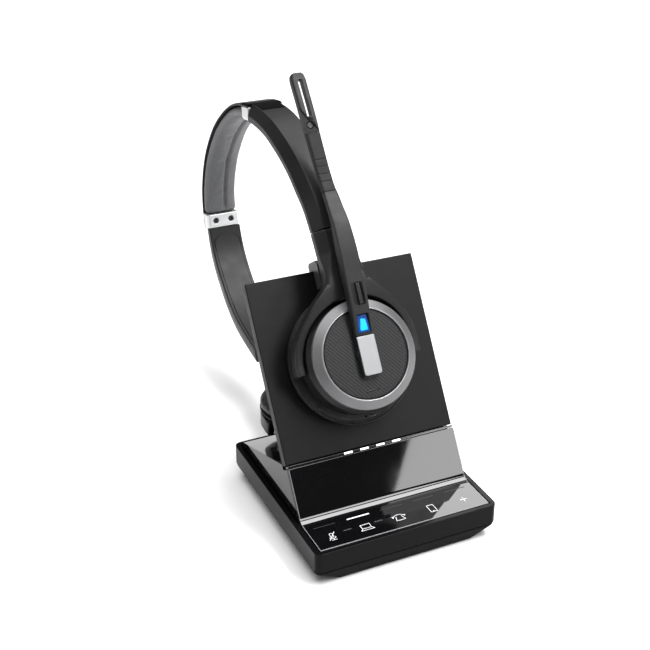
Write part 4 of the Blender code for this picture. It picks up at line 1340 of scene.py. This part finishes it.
    def build(self) -> None:
        """Every piece of the headband."""
        gap = self.gap
        fit(self.along("front_arm_shell", gap, self.front_clamp[0] - gap, self.arm_section), "headband",
            Finishes.ARM, "front_arm")
        fit(self.along("rear_arm_shell", self.rear_clamp[1] + gap, self.length - gap, self.arm_section),
            "headband", Finishes.ARM, "rear_arm")
        fit(self.along("band_spring_cover", self.front_clamp[0], self.rear_clamp[1], self.cover_section),
            "headband", Finishes.COVER, "band_cover")
        self.cushion()
        for side, span in (("front", self.front_clamp), ("rear", self.rear_clamp)):
            fit(refined(f"{side}_bracket", f"{side}_clamp", 0.3, 3), "headband", Finishes.STEEL,
                f"{side}_bracket")
            self.screws(side, span)
            fit(self.along(f"{side}_clamp_wrap", *span, self.wrap_section), "headband",
                Finishes.TRAY if side == "front" else Finishes.STEEL)
        fit(self.along("front_arm_cap", self.front_clamp[0] - 12.5, self.front_clamp[0] - 0.6,
                       self.cap_section), "headband", Finishes.TRAY)
        self.inlay()


# ---- Microphone boom ----
@dataclass
class Boom:
    """Boom on its hub, rubber sleeve and microphone tip. Sizes in millimetres."""

    trees: Trees
    hub_radius: float = 5.0
    root: tuple[tuple[float, float, float, float], ...] = (
        (8.7, 15.4, 2.5, 9.0), (18.0, 16.9, 4.0, 9.0), (24.0, 17.8, 4.9, 9.0), (36.0, 18.5, 5.3, 9.0),
        (46.0, 19.0, 5.4, 9.0), (54.0, 18.7, 4.6, 8.7), (61.0, 18.0, 3.3, 8.2), (66.0, 16.6, 2.8, 7.8),
        (70.0, 15.3, 2.8, 7.3), (76.0, 13.7, 2.9, 6.7))
    sleeve: tuple[tuple[float, float, float, float], ...] = (
        (76.3, 13.6, 3.2, 6.6), (80.0, 12.8, 3.2, 6.5), (88.0, 11.6, 3.2, 6.6), (96.0, 10.9, 3.3, 6.7),
        (104.4, 10.2, 3.5, 6.9))
    tip: tuple[tuple[float, float, float, float], ...] = (
        (104.7, 10.2, 3.8, 7.0), (112.0, 9.7, 3.8, 7.2), (122.0, 8.8, 3.8, 7.2), (131.0, 7.8, 3.8, 7.2),
        (133.4, 7.5, 3.6, 6.2), (134.2, 7.4, 3.4, 4.6))
    grooves: tuple[float, ...] = (81.0, 84.6, 88.2, 91.6)
    slot_sides: Flat = (-0.9, 1.5)
    slot_ends: Flat = (112.6, 131.0)
    capsule_at: Point = (-0.4, 108.6, 0.0)
    hollow_at: Point = (0.0, 112.0, 9.62)
    hollow_lean: float = -0.078

    def blend(self, stations: Sequence[tuple[float, float, float, float]], y: float) -> Vector:
        """(front, thickness, width) at a height, on a smooth line through the stations."""
        heights = [station[0] for station in stations]
        i = max(k for k in range(len(stations) - 1) if heights[k] <= y + 1e-9)
        knots = [Vector(stations[min(max(k, 0), len(stations) - 1)][1:]) for k in range(i - 1, i + 3)]
        t = (y - heights[i]) / (heights[i + 1] - heights[i])
        a, b, c, d = knots
        return 0.5 * (2 * b + (c - a) * t + (2 * a - 5 * b + 4 * c - d) * t * t
                      + (3 * b - a - 3 * c + d) * t ** 3)

    def strip(self, name: str, stations: Sequence[tuple[float, float, float, float]], step: float = 1.0,
              corner: float = 1.0, shape: Optional[Callable[[float], Flat]] = None) -> bpy.types.Object:
        """A rounded strip through stations.

        Args:
            name: The piece's name.
            stations: (height, front, thickness, width) along it.
            step: Between sections.
            corner: Radius of the front edges.
            shape: Gives, at a height, how much to take off the front and off each side.

        Returns:
            The closed piece.
        """
        low, high = stations[0][0], stations[-1][0]
        count = max(2, round((high - low) / step) + 1)
        sections = []
        for i in range(count):
            y = low + (high - low) * i / (count - 1)
            front, thick, width = self.blend(stations, y)
            off_front, off_side = shape(y) if shape else (0.0, 0.0)
            half, face = width / 2 - off_side, front - off_front
            ring = filleted([(-half, front - thick), (half, front - thick), (half, face), (-half, face)],
                            [0.5, 0.5, corner, corner], 5)
            sections.append([(x, y, z) for x, z in ring])
        return skin(name, sections, FRONT)

    def arm(self) -> None:
        """Boom arm with its hub, window pocket and mute pocket."""
        foot = prism("boom_foot", filleted([(-4.5, -10.8), (4.5, -10.8), (4.5, 9.2), (-4.5, 9.2)],
                                           [1.6, 1.6, 0, 0], 6), 12.9, 14.2, FRONT)
        hub = lathe("hub", [(0, 5.0), (self.hub_radius, 5.0), (self.hub_radius, 13.6), (0, 13.6)], FRONT, 64)
        arm = self.strip("boom_bar", self.root, 1.0, 0.9)
        cut(arm, foot, hub, join=True)
        window = prism("window_cut", [(-3.4, 9.4), (3.3, 9.4), (3.0, 18.0), (-2.3, 18.0)], 14.6, 20.0, FRONT)
        mute = block("mute_cut", (3.0, 10.4, 4.0), (0.6, 27.3, 18.4), FRONT)
        cut(arm, window, mute)
        fit(smooth(arm), "boom", Finishes.BOOM, "boom_arm")
        bar = prism("trim_bar", filleted([(-4.4, -9.9), (4.4, -9.9), (4.4, 8.1), (-4.4, 8.1)],
                                         [1.5, 1.5, 0.4, 0.4], 6), 14.5, 15.3, FRONT)
        fit(soften_edges(bar, 0.2, 3), "boom", Finishes.BAR, "boom_trim_bar")
        fit(refined("status_window", "status_lens", 0.15), "boom", Finishes.BLUE, "status_window")
        heart = prism("status_lamp", filleted([(-1.9, 10.6), (1.9, 10.6), (1.6, 15.6), (-0.6, 16.2)],
                                              [0.7] * 4), 15.4, 15.66, FRONT)
        fit(heart, "boom", Finishes.BLUE_HEART)
        fit(refined("mute_button", "mute_key", 0.45, 4), "mute_button", Finishes.SATIN, "mute_button")

    def holes(self) -> tuple[bpy.types.Object, bpy.types.Object]:
        """Cutters for the tip's slot and for the well that holds the capsule."""
        (left, right), (low, high) = self.slot_sides, self.slot_ends
        outline = filleted([(left, low), (right, low), (right, high), (left, high)], [0.8] * 4, 6)
        well = [(0, 6.8), (1.7, 6.8), (2.0, 12.0), (0, 12.0)]
        return (prism("slot_cut", outline, 0.0, 14.0, FRONT),
                lathe("well_cut", well, FRONT @ shift(*self.capsule_at), 64))

    def outer_end(self) -> None:
        """Rubber sleeve with cross grooves, tip with its slot and glossy hollow, and the capsule."""
        def groove(y: float) -> Flat:
            """Depth of the grooves at a height."""
            depth = sum(math.exp(-((y - g) / 0.30) ** 2) for g in self.grooves)
            return 0.22 * depth, 0.0

        into = millimetres(FRONT)
        bend = (into @ Vector((0, 76.3, 12.0)), into @ Vector((0, 90.0, 10.4)))
        flex(self.strip("boom_sleeve_grip", self.sleeve, 0.18, 1.0, groove), ("boom", "boom_tip"), bend,
             Finishes.RUBBER, "boom_sleeve")
        tip = self.strip("tip_bar", self.tip, 0.4, 1.1)
        slant = FRONT @ shift(*self.hollow_at) @ turn_x(self.hollow_lean)
        edge = [(-4.0, 8.2), (-3.2, 4.6), (-1.8, 1.4), (0.4, -2.2), (2.6, -5.2), (4.0, -7.2), (4.0, -9.0),
                (-4.0, -9.0)]
        scoop = prism("scoop_cut", filleted(edge, [0, 3, 4, 4, 4, 0, 0, 0]), -0.75, 3.0, slant)
        cut(tip, *self.holes(), scoop)
        fit(smooth(tip), "boom_tip", Finishes.BOOM, "boom_tip")
        liner = [(-3.2, 6.4), (-2.9, 4.2), (-1.6, 1.1), (0.6, -2.5), (2.9, -5.6), (2.9, -6.9), (-3.2, -6.9)]
        inset = prism("tip_liner", filleted(liner, [0, 3, 4, 4, 0, 0, 0]), -0.9, -0.55, slant)
        cut(inset, *self.holes())
        fit(smooth(inset), "boom_tip", Finishes.TRAY)
        place = FRONT @ shift(*self.capsule_at)
        capsule = filleted([(0, 7.1), (1.4, 7.1), (1.4, 9.2), (1.1, 9.2), (1.1, 8.9), (0, 8.9)],
                           [0, 0, 0.2, 0.1, 0.1, 0])
        fit(lathe("capsule", capsule, place, 48), "boom_tip", Finishes.DARK_STEEL, "microphone")
        dots = self.trees.dots.grow("capsule_grille", place @ shift(0, 0, 8.95), Finishes.DARK_STEEL,
                                    {"Side": 1.8, "Across": 7, "Radius": 0.95, "Stud": 0.1, "Height": 0.16})
        fit(dots, "boom_tip", Finishes.DARK_STEEL)

    def build(self) -> None:
        """Every piece of the boom."""
        self.arm()
        self.outer_end()


# ---- Studio ----
@dataclass
class Studio:
    """Pale floor, soft lights and the camera."""

    camera_at: Point = (-0.220, -0.3835, 0.3468)
    look_at: Point = (-0.0190, 0.0500, 0.1026)
    lens: float = 66.0

    def spot(self, point: Point) -> Vector:
        """A point measured from the tray's front edge, in the row frame."""
        return Vector(point) - Vector((0, CENTRE_Y / 1000, 0))

    def floor(self) -> None:
        """Pale floor, well past the view."""
        size = 3.0
        mesh = bpy.data.meshes.new("floor")
        mesh.from_pydata([(-size, -size, 0), (size, -size, 0), (size, size, 0), (-size, size, 0)], [],
                         [(0, 1, 2, 3)])
        piece = mesh_piece("floor", mesh)
        pale = bpy.data.materials.new("pale_floor")
        pale.use_nodes = True
        shader = pale.node_tree.nodes["Principled BSDF"]
        shader.inputs["Base Color"].default_value = (0.92, 0.92, 0.92, 1)
        shader.inputs["Roughness"].default_value = 0.9
        shader.inputs["Specular IOR Level"].default_value = 0.0
        piece.data.materials.append(pale)

    def lamp(self, name: str, at: Point, aim: Point, size: Flat, radiance: float, roll: float = 0.0) -> None:
        """A rectangular soft light.

        Args:
            name: The light's name.
            at: Where it is, in metres in the row frame.
            aim: What it faces.
            size: Width and height, in metres.
            radiance: How bright its face is.
            roll: Turn about its own axis, in degrees.
        """
        data = bpy.data.lights.new(name, "AREA")
        data.shape, data.size, data.size_y = "RECTANGLE", size[0], size[1]
        data.energy = radiance * math.pi * size[0] * size[1]
        light = bpy.data.objects.new(name, data)
        bpy.context.scene.collection.objects.link(light)
        light.location = at
        facing = (Vector(aim) - Vector(at)).to_track_quat("-Z", "Y").to_matrix().to_4x4()
        light.rotation_euler = (facing @ Matrix.Rotation(math.radians(roll), 4, "Z")).to_euler()

    def lights(self) -> None:
        """Overhead light, boxes that show in the gloss and along the fold, a side strip and a dim room."""
        self.lamp("overhead", (0.1, 0.1, 1.9), (0, 0, 0), (2.6, 2.6), 3.3)
        self.lamp("front_right", (0.649, -1.10, 0.471), (0.649, 0.0, 0.471), (0.30, 0.29), 9.0, -38.2)
        self.lamp("back_right", (0.705, 0.90, 0.880), (0.705, 0.0, 0.880), (0.21, 0.24), 7.0, -14.0)
        self.lamp("fold_strip", (0.46, -0.52, 1.00), (0.46, -0.52, 0.0), (0.36, 1.16), 13.0)
        self.lamp("left_strip", (-0.95, -0.10, 0.45), (0, 0, 0.08), (0.25, 0.9), 1.6)
        world = bpy.data.worlds.new("room")
        world.use_nodes = True
        world.node_tree.nodes["Background"].inputs["Color"].default_value = (1, 1, 1, 1)
        world.node_tree.nodes["Background"].inputs["Strength"].default_value = 0.06
        bpy.context.scene.world = world
        bpy.context.scene.view_settings.view_transform = "Standard"

    def camera(self) -> None:
        """Camera at the object's usual three-quarter view from the left."""
        data = bpy.data.cameras.new("camera")
        data.lens, data.sensor_width, data.clip_start = self.lens, 36.0, 0.01
        camera = bpy.data.objects.new("camera", data)
        bpy.context.scene.collection.objects.link(camera)
        at, aim = self.spot(self.camera_at), self.spot(self.look_at)
        camera.location = at
        camera.rotation_euler = (aim - at).to_track_quat("-Z", "Y").to_euler()
        bpy.context.scene.camera = camera

    def build(self) -> None:
        """The whole studio."""
        self.floor()
        self.lights()
        self.camera()


def main() -> None:
    """Build every sub-assembly, then the studio."""
    logging.basicConfig(level=logging.INFO, format="%(message)s", stream=sys.stdout)
    trees = Trees()
    log.info("charging base")
    ChargingBase(trees).build()
    log.info("cups")
    FrontCup(trees, "front", FRONT, 1.0).build()
    RearCup(trees, "rear", REAR_TILTED, -0.2).build()
    log.info("yokes and headband")
    Yoke("front", FRONT).build()
    Yoke("rear", REAR).build()
    Headband().build()
    log.info("boom")
    Boom(trees).build()
    Studio().build()


if __name__ == "__main__":
    main()
